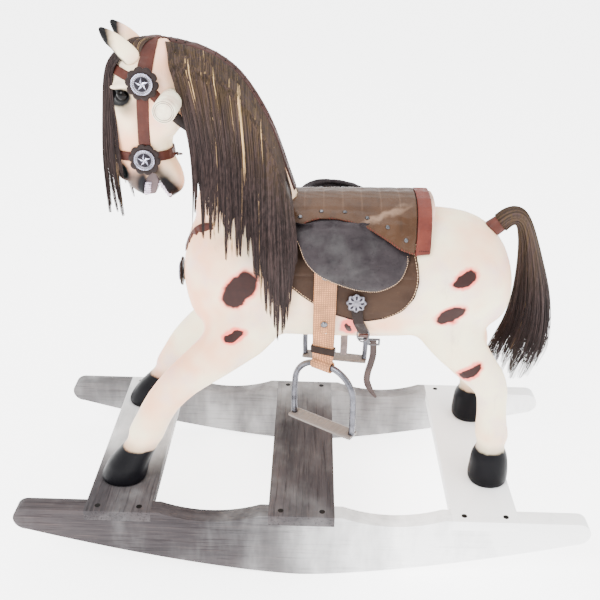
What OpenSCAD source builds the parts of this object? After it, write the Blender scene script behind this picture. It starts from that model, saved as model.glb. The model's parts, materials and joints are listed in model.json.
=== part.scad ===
/* [Stand] */
// Length of each rocker
rocker_len = 1000; // [980:5:1020]
// Thickness of each rocker
rocker_t = 30; // [26:1:34]
// Width over the outer faces of the rockers
stand_w = 430; // [420:1:440]
// Height of the flats on top of the rockers
deck_z = 132; // [130:1:134]
// Rise of the rocking curve near the tips
bow_rise = 90; // [84:1:96]
// Depth of the scallops between the boards
scallop_depth = 16; // [12:1:20]
// Thickness of the cross boards
board_t = 20; // [18:1:22]
// Width of the cross boards
board_w = 115; // [112:1:122]
// Distance from the middle board to each end board
board_x = 318; // [314:1:322]

/* [Horse] */
// Half the distance between the fore hooves
fore_track = 124; // [120:1:128]
// Half the distance between the hind hooves
hind_track = 102; // [98:1:106]
// How far the hooves stand to the right of the middle
stance_shift = 8; // [0:1:10]
// Radius of the eyes
eye_r = 10; // [8:0.5:11]
// Radius of the hand pegs
peg_r = 17.5; // [16:0.5:19]
// Distance from the middle to the end of each peg
peg_reach = 125; // [120:1:130]

/* [Tack] */
// Thickness of the leather
leather_t = 3; // [2.5:0.1:3.5]
// Width of the stirrup webbing
web_w = 37; // [34:1:39]
// Thickness of the stirrup webbing
web_t = 3; // [2.5:0.1:3.2]
// Height of the rivet that the webbing swings on
web_top_z = 543; // [541:1:545]
// Height of the bar at the top of each stirrup iron
iron_bar_z = 377; // [372:1:380]
// Width over the stirrup tread
iron_w = 127; // [124:1:134]
// Height from the iron's bar to its tread
iron_h = 119; // [112:1:124]
// Radius of the iron's rod
rod_r = 5.5; // [5:0.1:5.8]
// Turn of the left iron about the upright
yaw_left = 33; // [20:1:36]
// Turn of the right iron about the upright
yaw_right = 8; // [4:1:14]

/* [Hidden] */
$fn = 48;

gap = 0.4;                                    // between the layers of tack
fit = 0.1;                                    // round a screw, bolt, peg or pin
rocker_y = stand_w / 2 - rocker_t / 2;        // middle plane of each rocker
web_x_left = 29;                              // middle of each webbing, fore and aft
web_x_right = 58;
web_y = 113.5;                                // middle plane of the webbing
loop_r = rod_r + 1.7;                         // inside of the webbing's loop
keeper_z = 406;                               // middle of the webbing's keeper
peg_pos = [-215, 0, 803];
peg_pin_r = 11;                               // the peg's inner end, inside the head
eye_pos = [-290, 45.5, 808];
concho_top = [-257, 58.5, 828];
concho_low = [-264, 42, 705];
concho_r = 17.5;
rosette_r = 24;
rosette_t = 3;
chest_x = -218.2;                             // back of the chest rosette
chest_z = 492;
flap_concho = [80, 111.5, 497];
ring_pos = [97, 93.5, 421];
end_pins = [[72, 46, 383], [118, -60, 388]];  // pins of the girth's two loose ends
rivet_z = 455;                                // rivet in each webbing
iron_bend = 50;                               // radius of the stirrup iron's shoulders
tread_w = 28;                                 // depth of the tread, fore and aft

// Rows are x, y, z, half length, half width, tilt, exponent of the section
torso_rows = [
    [-213, 0, 497,  24,  20, -90, 2.0], [-206, 0, 499,  57,  46, -90, 2.0],
    [-192, 0, 503,  91,  71, -90, 2.1], [-162, 0, 505, 114,  91, -90, 2.1],
    [-111, 0, 507, 122, 101, -90, 2.1], [ -51, 0, 507, 121, 105, -90, 2.1],
    [  20, 0, 504, 118, 107, -90, 2.1], [  91, 0, 502, 115, 108, -90, 2.1],
    [ 162, 0, 503, 113, 110, -90, 2.1], [ 222, 0, 507, 108, 112, -90, 2.1],
    [ 270, 0, 507, 101, 108, -90, 2.1], [ 308, 0, 501,  88,  96, -90, 2.1],
    [ 334, 0, 493,  65,  73, -90, 2.0], [ 347, 0, 487,  38,  43, -90, 2.0],
    [ 351, 0, 485,  16,  19, -90, 2.0]];
neck_rows = [
    [ -95, 0, 533,  99,  85, 0, 2.1], [ -97, 0, 579,  95,  79, 0, 2.1],
    [-102, 0, 618,  89,  69, 0, 2.1], [-104, 0, 659,  77,  58, 0, 2.1],
    [-111, 0, 703,  68,  51, 0, 2.1], [-120, 0, 748,  61,  46, 0, 2.1],
    [-135, 0, 788,  53,  42, 0, 2.1], [-149, 0, 821,  47,  38, 0, 2.1],
    [-166, 0, 845,  41,  33, 0, 2.1], [-185, 0, 865,  31,  24, 0, 2.0],
    [-200, 0, 877,  19,  12, 0, 2.0]];
head_rows = [
    [-249, 0, 634, 24, 16, 0, 2.2], [-252, 0, 642, 39, 25, 0, 2.3],
    [-256, 0, 657, 48, 31, 0, 2.3], [-263, 0, 679, 50, 34, 0, 2.3],
    [-272, 0, 703, 48, 36, 0, 2.3], [-273, 0, 731, 49, 42, 0, 2.3],
    [-262, 0, 758, 60, 49, 0, 2.3], [-258, 0, 791, 65, 54, 0, 2.3],
    [-256, 0, 825, 65, 54, 0, 2.2], [-252, 0, 853, 55, 45, 0, 2.1],
    [-246, 0, 874, 38, 31, 0, 2.0], [-243, 0, 886, 18, 15, 0, 2.0]];
foreleg_rows = [
    [-324, 1.00, 132, 38, 35,   0, 2.2], [-323, 1.00, 140, 40, 36,   0, 2.2],
    [-313, 1.00, 164, 35, 33,  -6, 2.1], [-299, 0.99, 186, 29, 28, -12, 2.1],
    [-286, 0.98, 208, 27, 26, -14, 2.0], [-279, 0.97, 226, 31, 28, -15, 2.0],
    [-266, 0.95, 254, 30, 27, -18, 2.0], [-246, 0.91, 290, 30, 28, -27, 2.0],
    [-212, 0.84, 328, 33, 31, -38, 2.0], [-174, 0.76, 358, 38, 35, -47, 2.0],
    [-134, 0.67, 392, 46, 40, -46, 2.0], [-100, 0.60, 436, 60, 38, -34, 2.0],
    [ -84, 0.54, 490, 48, 24, -12, 2.0]];
hindleg_rows = [
    [ 339, 1.00, 132, 33, 32,  0, 2.2], [ 339, 1.00, 140, 35, 33,  0, 2.2],
    [ 339, 1.00, 162, 34, 32,  0, 2.1], [ 338, 0.99, 186, 31, 29,  0, 2.1],
    [ 338, 0.98, 206, 24, 24,  0, 2.0], [ 337, 0.97, 228, 30, 27,  0, 2.0],
    [ 333, 0.96, 258, 27, 25,  0, 2.0], [ 330, 0.94, 290, 26, 24,  2, 2.0],
    [ 327, 0.92, 316, 28, 25, 12, 2.0], [ 316, 0.89, 338, 32, 28, 28, 2.0],
    [ 298, 0.85, 358, 35, 31, 38, 2.0], [ 278, 0.79, 382, 40, 35, 40, 2.0],
    [ 257, 0.72, 412, 50, 40, 37, 2.0], [ 243, 0.64, 450, 62, 42, 26, 2.0],
    [ 238, 0.54, 500, 54, 30, 10, 2.0]];
ear_rows = [
    [-259, 33.5, 841, 10,  8, 41, 2], [-271, 34.0, 855, 15, 10, 41, 2],
    [-284, 34.5, 868, 17, 10, 41, 2], [-300, 36.0, 885, 14,  8, 41, 2],
    [-313, 37.0, 898,  8,  5, 41, 2], [-320, 37.5, 905,  3,  2, 41, 2]];
tail_rows = [
    [384, 0, 316, 24, 12,  -4, 2], [385, 0, 338, 42, 19,  -4, 2],
    [390, 0, 372, 45, 23,  -2, 2], [394, 0, 418, 40, 24,   3, 2],
    [392, 0, 470, 31, 22,  10, 2], [383, 0, 523, 22, 18,  18, 2],
    [374, 0, 562, 17, 15,  32, 2], [366, 0, 588, 15, 14,  48, 2],
    [356, 0, 605, 15, 14,  70, 2], [341, 0, 611, 16, 15, 100, 2]];
seat_rows = [
    [-65, 0, 503, 131,  97, -90, 2.4], [-30, 0, 503, 137, 101, -90, 2.4],
    [121, 0, 503, 141, 102, -90, 2.4], [215, 0, 503, 142, 101, -90, 2.4]];
pad_rows = [
    [-65, 0, 503, 127, 113, -90, 2.5], [-17, 0, 503, 131, 119, -90, 2.6],
    [ 30, 0, 503, 132, 124, -90, 2.6], [ 90, 0, 503, 132, 124, -90, 2.6],
    [150, 0, 503, 131, 115, -90, 2.5], [182, 0, 503, 129, 103, -90, 2.4],
    [215, 0, 503, 127,  98, -90, 2.4]];

function clip(v, lo, hi) = max(lo, min(hi, v));
function rise(x) = bow_rise * pow(abs(x) / (rocker_len / 2 - 12), 1.5);
function smooth(t) = let (c = min(max(t, 0), 1)) c * c * (3 - 2 * c);
function bent(v, e) = sign(v) * pow(abs(v), e);

// A row at u, on a smooth curve through all the rows
function row_at(rows, u) =
    let (n = len(rows) - 1, i = min(floor(u), n - 1), t = u - i)
    let (a = rows[max(i - 1, 0)], b = rows[i], c = rows[i + 1], d = rows[min(i + 2, n)])
    0.5 * (2 * b + (c - a) * t + (2 * a - 5 * b + 4 * c - d) * t * t
           + (3 * b - a - 3 * c + d) * t * t * t);
function grown(rows, by) = [for (r = rows) [r[0], r[1], r[2], r[3] + by, r[4] + by, r[5], r[6]]];
function ring_of(r, sides) = [for (k = [0 : sides - 1])
    let (c = r[3] * bent(cos(360 * k / sides), 2 / r[6]), s = r[4] * bent(sin(360 * k / sides), 2 / r[6]))
    [r[0] + c * cos(r[5]), r[1] + s, r[2] + c * sin(r[5])]];

// A closed skin over rings that all have the same number of points
module skin(rings) {
    m = len(rings[0]);
    n = len(rings);
    walls = [for (i = [0 : n - 2], k = [0 : m - 1]) let (j = (k + 1) % m)
        each [[i * m + k, (i + 1) * m + k, (i + 1) * m + j], [i * m + k, (i + 1) * m + j, i * m + j]]];
    low = [[for (k = [0 : m - 1]) k]];
    high = [[for (k = [m - 1 : -1 : 0]) (n - 1) * m + k]];
    polyhedron([for (r = rings) each r], concat(walls, low, high), convexity = 6);
}
module loft(rows, sides, per) {
    steps = (len(rows) - 1) * per;
    skin([for (i = [0 : steps]) ring_of(row_at(rows, i / per), sides)]);
}
// Cuts a soft or carved shape to its neighbours as one mesh
module carve() { resize([0, 0, 0]) difference() { children(0); children([1 : $children - 1]); } }
module pick() { resize([0, 0, 0]) intersection() { children(0); children(1); } }
module both_sides() { children(); mirror([0, 1, 0]) children(); }
module side(s) { if (s > 0) children(); else mirror([0, 1, 0]) children(); }
// An outline in x and z, drawn out along y from y0 to y1
module across(y0, y1) { translate([0, y1, 0]) rotate([90, 0, 0]) linear_extrude(y1 - y0) children(); }
module rod(p, axis, r, h) { translate(p) rotate(axis) cylinder(r = r, h = h, center = true); }

module torso_blank() { loft(torso_rows, 32, 2); }
module neck_blank() { loft(neck_rows, 22, 2); }
module head_blank() { loft(head_rows, 24, 2); }
module ear_blank() { loft(ear_rows, 12, 2); }
module seat_form(by) { loft(grown(seat_rows, by), 32, 2); }
module pad_form(by) { loft(grown(pad_rows, by), 32, 2); }
// A leg reaches out to its hoof; lean sets its middle back
module leg_blank(rows, reach, lean = 0) {
    loft([for (r = rows) [r[0] + lean * sin(clip(r[2] - deck_z, 0, 360) / 2), r[1] * reach, r[2], r[3], r[4],
                          r[5], r[6]]], 18, 2);
}
module foreleg_blank(s) { leg_blank(foreleg_rows, s * fore_track + stance_shift, s > 0 ? 10 : 0); }

// The stand
module rocker_outline() {
    tip = (deck_z - rise(rocker_len / 2 - 22)) / 2;
    end = rocker_len / 2 - tip;
    dip_r = (pow(board_x / 2 - 72, 2) + pow(scallop_depth, 2)) / (2 * scallop_depth);
    difference() {
        union() {
            polygon(concat([for (i = [-24 : 24]) [end * i / 24, rise(end * i / 24)]],
                           [[end, deck_z], [-end, deck_z]]));
            for (s = [-1, 1]) translate([s * end, deck_z - tip]) circle(tip);
        }
        for (s = [-1, 1])
            translate([s * board_x / 2, deck_z - scallop_depth + dip_r]) circle(dip_r, $fn = 96);
        for (x = [-board_x, 0, board_x])
            translate([x - board_w / 2, deck_z - board_t]) square([board_w, board_t + 1]);
    }
}
module screw_places() {
    for (x = [-board_x, 0, board_x], dx = [-36, 36], s = [-1, 1])
        translate([x + dx, s * rocker_y, deck_z]) children();
}
module screw_form(by) {
    translate([0, 0, -55]) cylinder(r = 2.5 + by, h = 55);
    translate([0, 0, -3.5]) cylinder(r1 = 2.5 + by, r2 = 5 + by, h = 3.5 + 0.001 * sign(by));
}
module rocker(s) {
    color("#4b403c") difference() {
        translate([0, s * rocker_y, 0]) across(-rocker_t / 2, rocker_t / 2) rocker_outline();
        screw_places() translate([0, 0, -56]) cylinder(r = 2.5 + fit, h = 60);
    }
}
module hoof_places() {
    for (p = [[-318, fore_track], [339, hind_track]], s = [-1, 1])
        translate([p[0], s * p[1] + stance_shift, deck_z]) children();
}
module board(x) {
    color("#574841") difference() {
        translate([x - board_w / 2, -stand_w / 2, deck_z - board_t]) cube([board_w, stand_w, board_t]);
        screw_places() screw_form(fit);
        hoof_places() translate([0, 0, -board_t - 1]) cylinder(r = 4 + fit, h = board_t + 2);
    }
}
module board_screws() { color("dimgray") screw_places() screw_form(0); }
module hoof_bolts() {
    color("dimgray") hoof_places() {
        translate([0, 0, -board_t - 1]) cylinder(r = 4, h = board_t + 46);
        translate([0, 0, -board_t - 6]) cylinder(r = 8, h = 6, $fn = 6);
    }
}

// The carved horse
module pin_bores() {
    rod([web_x_left, -96, web_top_z], [90, 0, 0], 3 + fit, 36);
    rod([web_x_right, 96, web_top_z], [90, 0, 0], 3 + fit, 36);
}
module torso() { color("#e6dfd6") difference() { torso_blank(); pin_bores(); } }
module neck() { color("#e6dfd6") carve() { neck_blank(); torso_blank(); head_blank(); } }
module mouth() {
    across(-60, 60) polygon([[-266, 620], [-261, 642], [-252, 666], [-243, 652], [-238, 620]]);
}
module head() {
    color("#e6dfd6") difference() {
        carve() {
            head_blank();
            mouth();
            both_sides() translate(eye_pos) sphere(eye_r + 0.9, $fn = 16);
        }
        peg_room(fit);
    }
}
// The pegs' shared bore and the wider seat for each peg
module peg_room(by) {
    rod(peg_pos, [90, 0, 0], peg_pin_r + by, 200);
    both_sides() rod(peg_pos + [0, 95, 0], [90, 0, 0], peg_r + by, 100);
}
module eyes() { color("#111111") both_sides() translate(eye_pos) sphere(eye_r); }
module ear(s) { color("#d9d2c8") side(s) carve() { ear_blank(); head_blank(); } }
module foreleg(s) {
    color("#e6dfd6") difference() {
        carve() {
            foreleg_blank(s);
            torso_blank();
            neck_blank();
        }
        hoof_places() cylinder(r = 4 + fit, h = 92, center = true);
    }
}
module hindleg(s) {
    color("#e6dfd6") difference() {
        carve() { leg_blank(hindleg_rows, s * hind_track + stance_shift); torso_blank(); }
        hoof_places() cylinder(r = 4 + fit, h = 92, center = true);
    }
}
module hand_peg(s) {
    color("#efe9e0") side(s) translate([peg_pos[0], 0, peg_pos[2]]) rotate([-90, 0, 0]) rotate_extrude()
        polygon([[0, 2], [peg_pin_r, 2], [peg_pin_r, 45], [peg_r, 45], [peg_r, 63], [peg_r - 1, 64],
                 [peg_r, 65],
                 [peg_r, peg_reach - 9], [peg_r - 0.8, peg_reach - 8], [peg_r, peg_reach - 7],
                 [peg_r, peg_reach - 4], [peg_r - 4, peg_reach], [0, peg_reach]]);
}

// Hair: a sheet that hangs from the crest and stands out over the neck and shoulder
crest_rows = [[-224, 881], [-192, 875], [-152, 860], [-114, 831], [-80, 780], [-57, 732], [-34, 662]];
tip_rows = [[-184, 616], [-142, 584], [-105, 549], [-83, 493], [-44, 420], [-24, 493], [-16, 594]];
function mane_y(z, top) = 10 + 40 * smooth((top - z) / 36) + 66 * smooth((748 - z) / 200);
function mane_point(u, v, out) =
    let (c = row_at(crest_rows, u), t = row_at(tip_rows, u))
    let (x = c[0] + (t[0] - c[0]) * (1 - pow(1 - v, 2.4)), z = c[1] + (t[1] - c[1]) * v)
    [x, -mane_y(z, c[1]) - out * (0.4 + 0.6 * sin(180 * min(v + 0.1, 1))), z + out * (1 - v) * 0.3];
module mane() {
    color("#4a3a31") carve() {
        skin([for (i = [0 : 12]) let (u = i / 2) concat(
            [for (j = [0 : 9]) mane_point(u, j / 9, 13)],
            [for (j = [9 : -1 : 0]) mane_point(u, j / 9, 1)])]);
        neck_blank();
        torso_blank();
        head_blank();
        seat_form(leather_t + 2 * gap);
        pad_form(leather_t + 2 * gap);
        collar_form(gap);
        mane_strip_form(gap);
        peg_room(gap);
    }
}
strip_rows = [[-237, 887], [-222, 885], [-192, 879], [-152, 865], [-113, 836], [-78, 786],
              [-54, 735], [-30, 666]];
module mane_strip_form(by) {
    skin([for (i = [0 : 21]) let (p = row_at(strip_rows, i / 3), q = row_at(strip_rows, min(i / 3 + 0.05, 7)),
        o = row_at(strip_rows, max(i / 3 - 0.05, 0)), a = atan2(q[1] - o[1], q[0] - o[0]),
        n = [-sin(a), cos(a)], hw = 11 + by, up = 2.5 + by, dn = -1.5 - by)
        [for (c = [[-hw, dn - 5], [hw, dn - 5], [hw, up - 4], [4, up], [-4, up], [-hw, up - 4]])
            [p[0] + n[0] * c[1], c[0], p[1] + n[1] * c[1]]]]);
}
module mane_strip() {
    color("#8a4a35") carve() { mane_strip_form(0); neck_blank(); head_blank(); crown_form(gap); }
}
forelock_rows = [[-250, 878, 14, 8], [-280, 874, 20, 8], [-308, 857, 26, 9], [-322, 817, 30, 9],
                 [-328, 736, 30, 10], [-326, 655, 28, 12], [-318, 604, 22, 12]];
module forelock() {
    color("#4a3a31") carve() {
        skin([for (i = [0 : 18]) let (p = row_at(forelock_rows, i / 3),
            q = row_at(forelock_rows, min(i / 3 + 0.05, 6)), o = row_at(forelock_rows, max(i / 3 - 0.05, 0)),
            a = atan2(q[1] - o[1], q[0] - o[0]), n = [sin(a), -cos(a)], w = p[2])
            [for (c = [[-w, 0], [0, 3], [w, 0], [w * 0.8, 2 - p[3]], [0, -p[3]], [-w * 0.8, 2 - p[3]]])
                [p[0] + n[0] * c[1], c[0], p[1] + n[1] * c[1]]]]);
        head_blank();
        neck_blank();
        browband_form(gap);
        crown_form(gap);
        mane_strip_form(gap);
        nose_form(gap);
        both_sides() ear_blank();
    }
}
module tail_hair() { color("#4a3a31") carve() { loft(tail_rows, 18, 2); torso_blank(); dock_form(gap); } }
module dock_form(by) {
    translate([305, 0, 582]) rotate([0, 50, 0]) cylinder(r1 = 16 + by, r2 = 13.5 + by, h = 46 + by, $fn = 24);
}
module tail_wrap() { color("#8a4a35") carve() { dock_form(0); torso_blank(); } }

// The bridle
function head_over(by) = concat(grown(head_rows, by), [[-242, 0, 886 + by, 8 + by, 6 + by, 0, 2]]);
module head_form(by) { loft(head_over(by), 24, 2); }
module nose_slab() { across(-80, 80) polygon([[-345, 700], [-345, 716], [-180, 716], [-180, 700]]); }
module brow_slab() { across(-80, 80) polygon([[-345, 850], [-345, 866], [-257, 836], [-257, 821]]); }
module crown_slab() { across(-80, 80) polygon([[-269, 828], [-245, 828], [-229, 926], [-253, 926]]); }
module cheek_slab() { across(1, 80) polygon([[-272, 705], [-256, 705], [-249, 828], [-265, 828]]); }
module throat_slab() { across(-80, 80) polygon([[-263, 823], [-251, 835], [-172, 747], [-184, 735]]); }
module nose_form(by) { pick() { head_form(leather_t + by); nose_slab(); } }
module browband_form(by) { pick() { head_form(leather_t + by); brow_slab(); } }
module cheek_form(by) { pick() { head_form(leather_t + by); cheek_slab(); } }
module crown_form(by) { pick() { head_form(leather_t + by); crown_slab(); } }
module noseband() { color("#8a4033") carve() { nose_form(0); head_blank(); } }
module browband() {
    color("#8a4033") carve() { browband_form(0); head_blank(); crown_form(gap); both_sides() ear_blank(); }
}
module crown_strap() {
    color("#8a4033") carve() { crown_form(0); head_blank(); neck_blank(); both_sides() ear_blank(); }
}
module cheek_strap(s) {
    color("#8a4033") side(s) carve() {
        cheek_form(0);
        head_form(gap / 4);
        for (p = [concho_top, concho_low])
            translate(p - [0, gap / 2, 0]) rotate([-90, 0, 0]) cylinder(r = rosette_r + 1, h = 20);
        nose_form(gap);
        browband_form(gap);
        crown_form(gap);
    }
}
module throat_strap() {
    color("#8a4033") carve() {
        pick() { head_form(leather_t); throat_slab(); }
        head_blank();
        neck_blank();
        browband_form(gap);
        crown_form(gap);
        both_sides() cheek_form(gap);
        peg_room(gap);
    }
}
module scalloped(r, lobes, h) {
    linear_extrude(h) union() {
        circle(r * 0.92);
        for (k = [0 : lobes - 1]) rotate(360 * k / lobes) translate([r * 0.86, 0]) circle(r * 0.14);
    }
}
module on_head(p, lift) { both_sides() translate([p[0], p[1] + lift, p[2]]) rotate([-90, 0, 0]) children(); }
module bridle_rosettes() {
    color("#3a2b26") for (p = [concho_top, concho_low]) on_head(p, 0) scalloped(rosette_r, 12, rosette_t);
}
module concho(r) { cylinder(r = r, h = 1.6); translate([0, 0, 1.6]) cylinder(r1 = r, r2 = r * 0.55, h = 2); }
module bridle_conchos() {
    color("silver") for (p = [concho_top, concho_low]) on_head(p, rosette_t) concho(concho_r);
}
module chin_ring() {
    color("silver") translate([-215, 0, 703]) rotate([-27, 0, 0]) rotate_extrude()
        translate([4, 0]) circle(1.5);
}

// The breast collar, from the saddle round the chest
collar_rows = [[-60, 62, 622], [-110, 69, 606], [-156, 60, 597], [-184, 48, 585], [-204, 31, 548],
               [-215, 0, 484]];
function collar_path(i) = i <= 15 ? row_at(collar_rows, i / 3)
    : let (p = row_at(collar_rows, (30 - i) / 3)) [p[0], -p[1], p[2]];
module collar_form(by) {
    skin([for (i = [0 : 30]) let (p = collar_path(i), f = [p[0] + 70, p[1], 0],
        n = f / norm(f), t = collar_path(min(i + 1, 30)) - collar_path(max(i - 1, 0)),
        w = cross(t, n) / norm(cross(t, n)), hw = 11 + by)
        [for (c = [[-hw, 3 + by], [hw, 3 + by], [hw, -14], [-hw, -14]]) p + n * c[1] + w * c[0]]]);
}
module breast_collar() {
    color("#8a4033") carve() {
        collar_form(0);
        torso_blank();
        neck_blank();
        foreleg_blank(1);
        foreleg_blank(-1);
        seat_form(leather_t + gap);
        pad_form(leather_t + gap);
    }
}
module on_chest(lift) { translate([chest_x - lift, 0, chest_z]) rotate([0, -90, 0]) children(); }
module breast_rosette() { color("#3a2b26") on_chest(0) scalloped(rosette_r, 12, rosette_t - gap); }
module breast_concho() { color("silver") on_chest(rosette_t - gap + 0.1) concho(concho_r); }

// The saddle
module cover_outline() {
    polygon([[-57, 720], [-57, 589.5], [-18, 612.6], [8, 621.8], [38, 623.6], [66, 621], [92, 615],
             [120, 602], [150, 584], [170, 576], [173, 600], [175, 640], [175, 720]]);
}
module binding_outline() {
    polygon([[175.4, 720], [175.4, 640], [173.4, 600], [170.4, 574], [195, 576], [198, 640], [198, 720]]);
}
module cover_shell() {
    carve() {
        union() {
            seat_form(leather_t + gap);
            pad_form(leather_t + gap);
        }
        seat_form(gap);
        pad_form(gap);
        torso_blank();
    }
}
module block_outline() {
    polygon([[-62, 580], [-62, 700], [200, 700], [207, 645], [206, 632], [200, 612], [192, 588]]);
}
module saddle_block() {
    color("#e6dfd6") carve() {
        pick() { seat_form(0); across(-120, 120) block_outline(); }
        torso_blank();
        neck_blank();
    }
}
module saddle_cover() {
    color("#5d4a33") carve() {
        pick() { cover_shell(); across(-140, 140) cover_outline(); }
        neck_blank();
    }
}
module saddle_binding() { color("#8a4033") pick() { cover_shell(); across(-140, 140) binding_outline(); } }
stud_places = [[-15, 625], [19, 631], [57, 631], [93, 626.5], [125, 616], [155, 599]];
// How far out the saddle stands at a height, over the seat or over the pad, whichever is wider
function reach_at(rows, x, z) =
    let (i = min([for (k = [0 : len(rows) - 2]) if (rows[k + 1][0] >= x) k]))
    let (t = (x - rows[i][0]) / (rows[i + 1][0] - rows[i][0]), r = rows[i] + (rows[i + 1] - rows[i]) * t)
    r[4] * pow(max(0, 1 - pow((z - r[2]) / r[3], r[6])), 1 / r[6]);
function saddle_y(x, z, by) =
    max(reach_at(grown(seat_rows, by), x, z), reach_at(grown(pad_rows, by), x, z));
module saddle_studs() {
    color("silver") carve() {
        both_sides() for (p = stud_places)
            translate([p[0], saddle_y(p[0], p[1], leather_t + gap), p[1]]) sphere(4.5, $fn = 10);
        seat_form(leather_t + 1.05 * gap);
        pad_form(leather_t + 1.05 * gap);
    }
}
module skirt_outline() {
    polygon([[-40, 640], [-24, 598], [-4, 573], [27, 548], [55, 533], [84, 522], [111, 519], [138, 528],
             [156, 545], [163, 566], [162, 640]]);
}
// Room for a webbing to swing under the skirt, about the pin at x
module web_room(x) {
    r = 27;
    spread = 58;
    drop = 90;
    across(-web_y - 12, -web_y + 4) polygon([
        for (q = [-120 : 20 : 120]) [x + r * sin(q), web_top_z + r * cos(q)],
        [x + spread, web_top_z - drop], [x - spread, web_top_z - drop]]);
}
module skirt(s) {
    color("#3c3836") difference() {
        side(-s) carve() {
            pick() { pad_form(0); across(-140, -1) skirt_outline(); }
            torso_form(leather_t + 2 * gap);
            seat_form(gap);
            web_room(web_x(s));
        }
        pin_bores();
    }
}
module torso_form(by) { loft(grown(torso_rows, by), 32, 2); }
module flap_outline() {
    polygon([[-49, 594], [-45, 533], [-27, 517], [1, 495], [40, 470], [74, 458], [102, 456], [129, 463],
             [157, 481], [174, 507], [180, 535], [177, 560], [170, 592], [152, 608], [-40, 608]]);
}
module flap(s) {
    color("#5d4a33") difference() {
        side(-s) carve() {
            pick() { torso_form(leather_t + gap); across(-140, -1) flap_outline(); }
            torso_form(gap);
            seat_form(gap);
        }
        pin_bores();
    }
}
// The right webbing hangs further back, and so does the concho beside it
function flap_x(s) = flap_concho[0] + (s > 0 ? 28 : 0);
module flap_conchos() {
    lift = 5.4;
    color("silver") for (s = [-1, 1])
        translate([flap_x(s), s * (flap_concho[1] + lift), flap_concho[2]]) rotate([-90 * s, 0, 0]) {
            scalloped(16, 8, 1.6);
            translate([0, 0, 1.6]) cylinder(r1 = 10, r2 = 5, h = 3);
        }
}
module girth_loops() {
    color("#2e2624") for (s = [-1, 1]) carve() {
        chain = [[flap_x(s), 113.8, flap_concho[2]], [flap_x(s) + 5, 111.5, 460],
                 [ring_pos[0] - 1, 95, ring_pos[2] + 11]];
        union() for (k = [0, 1]) hull() for (p = [chain[k], chain[k + 1]])
            translate([p[0], s * p[1], p[2]]) cube([17, 5, k == 0 && p == chain[0] ? 17 : 5], center = true);
        torso_form(leather_t + 2 * gap);
        across(-200, 200) translate([ring_pos[0], ring_pos[2] - 1]) circle(10.2);
    }
}
module girth_rings() {
    color("silver") both_sides() translate(ring_pos + [0, -1, -1]) rotate([90, 0, 0]) rotate_extrude()
        translate([8, 0]) circle(1.8);
}
module girth_strap() {
    color("#6b3a2e") carve() {
        pick() {
            torso_form(leather_t + gap);
            translate([90, -84, 300]) cube([18, 168, 120]);
        }
        torso_form(gap);
        for (p = end_pins) rod(p + [0, 0, 10], [0, 90, 0], 2 + gap, 80);
    }
}
// Each loose end hangs from a small buckle on the girth
module girth_buckle() {
    color("silver") for (p = end_pins) translate(p) {
        reach = p[0] > 99 ? -18 : 18;
        rod([0, 0, 0], [0, 90, 0], 2, 20);
        for (k = [-1, 1]) rod([k * 9, 0, 5], [0, 0, 0], 2, 10);
        rod([reach / 2, 0, 10], [0, 90, 0], 2, 20 + abs(reach));
    }
}
module girth_end(p, long) {
    color("#3d302b") translate(p) rotate([90, 0, 90]) translate([0, 0, -7]) linear_extrude(14) difference() {
        union() {
            circle(5.2);
            polygon([[-5, -1], [-3, -3], [-1, -12], [0, -0.45 * long], [-3, -0.77 * long], [-1, -long],
                     [2, -long], [0, -0.77 * long], [3, -0.45 * long], [2, -12], [3, -3], [5, -1]]);
        }
        circle(2.6);
    }
}

// The stirrups
function web_x(s) = s < 0 ? web_x_left : web_x_right;
module strap_pins() {
    color("silver") for (s = [-1, 1]) translate([web_x(s), 0, web_top_z]) rotate([-90 * s, 0, 0]) {
        translate([0, 0, 80]) cylinder(r = 3, h = web_y - 80 + web_t / 2 + 1.1);
        translate([0, 0, web_y + web_t / 2 + 0.5]) cylinder(r = 7, h = 1.2);
    }
}
function web_ring(r) = [for (c = [[-1, -1], [1, -1], [1, 1], [-1, 1]])
    let (x = c[0] * r[2], y = c[1] * r[3])
    [x * cos(r[1]) - y * sin(r[1]), x * sin(r[1]) + y * cos(r[1]), r[0]]];
module webbing(s, yaw) {
    k = -0.6 * yaw;
    hw = web_w / 2;
    color("#b08d68") translate([web_x(s), s * web_y, 0]) carve() {
        union() {
            skin([for (r = [[iron_bar_z + 6, -yaw, hw, web_t], [keeper_z - 9, k, hw, web_t],
                            [keeper_z + 8, k, hw, web_t], [keeper_z + 24, k * 0.5, hw, web_t / 2],
                            [keeper_z + 42, k * 0.1, hw, web_t / 2], [web_top_z + 6, 0, hw, web_t / 2]])
                web_ring(r)]);
            translate([0, 0, iron_bar_z]) rotate([0, 90, -yaw])
                cylinder(r = loop_r + web_t, h = web_w, center = true, $fn = 32);
        }
        translate([0, 0, iron_bar_z]) rotate([0, 90, -yaw])
            cylinder(r = loop_r, h = 60, center = true, $fn = 32);
        rod([0, 0, web_top_z], [90, 0, 0], 3.6, 20);
    }
}
module web_keeper(s, yaw) {
    color("#2e2624") translate([web_x(s), s * web_y, keeper_z]) rotate([0, 0, -0.6 * yaw]) difference() {
        cube([web_w + 5, 2 * web_t + 5, 15], center = true);
        cube([web_w + 0.6, 2 * web_t + 0.6, 20], center = true);
    }
}
module web_rivet(s) {
    color("silver") translate([web_x(s), s * (web_y + web_t / 2 + 0.3), rivet_z])
        rotate([-90 * s, 0, 0]) concho(5.5);
}
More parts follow.
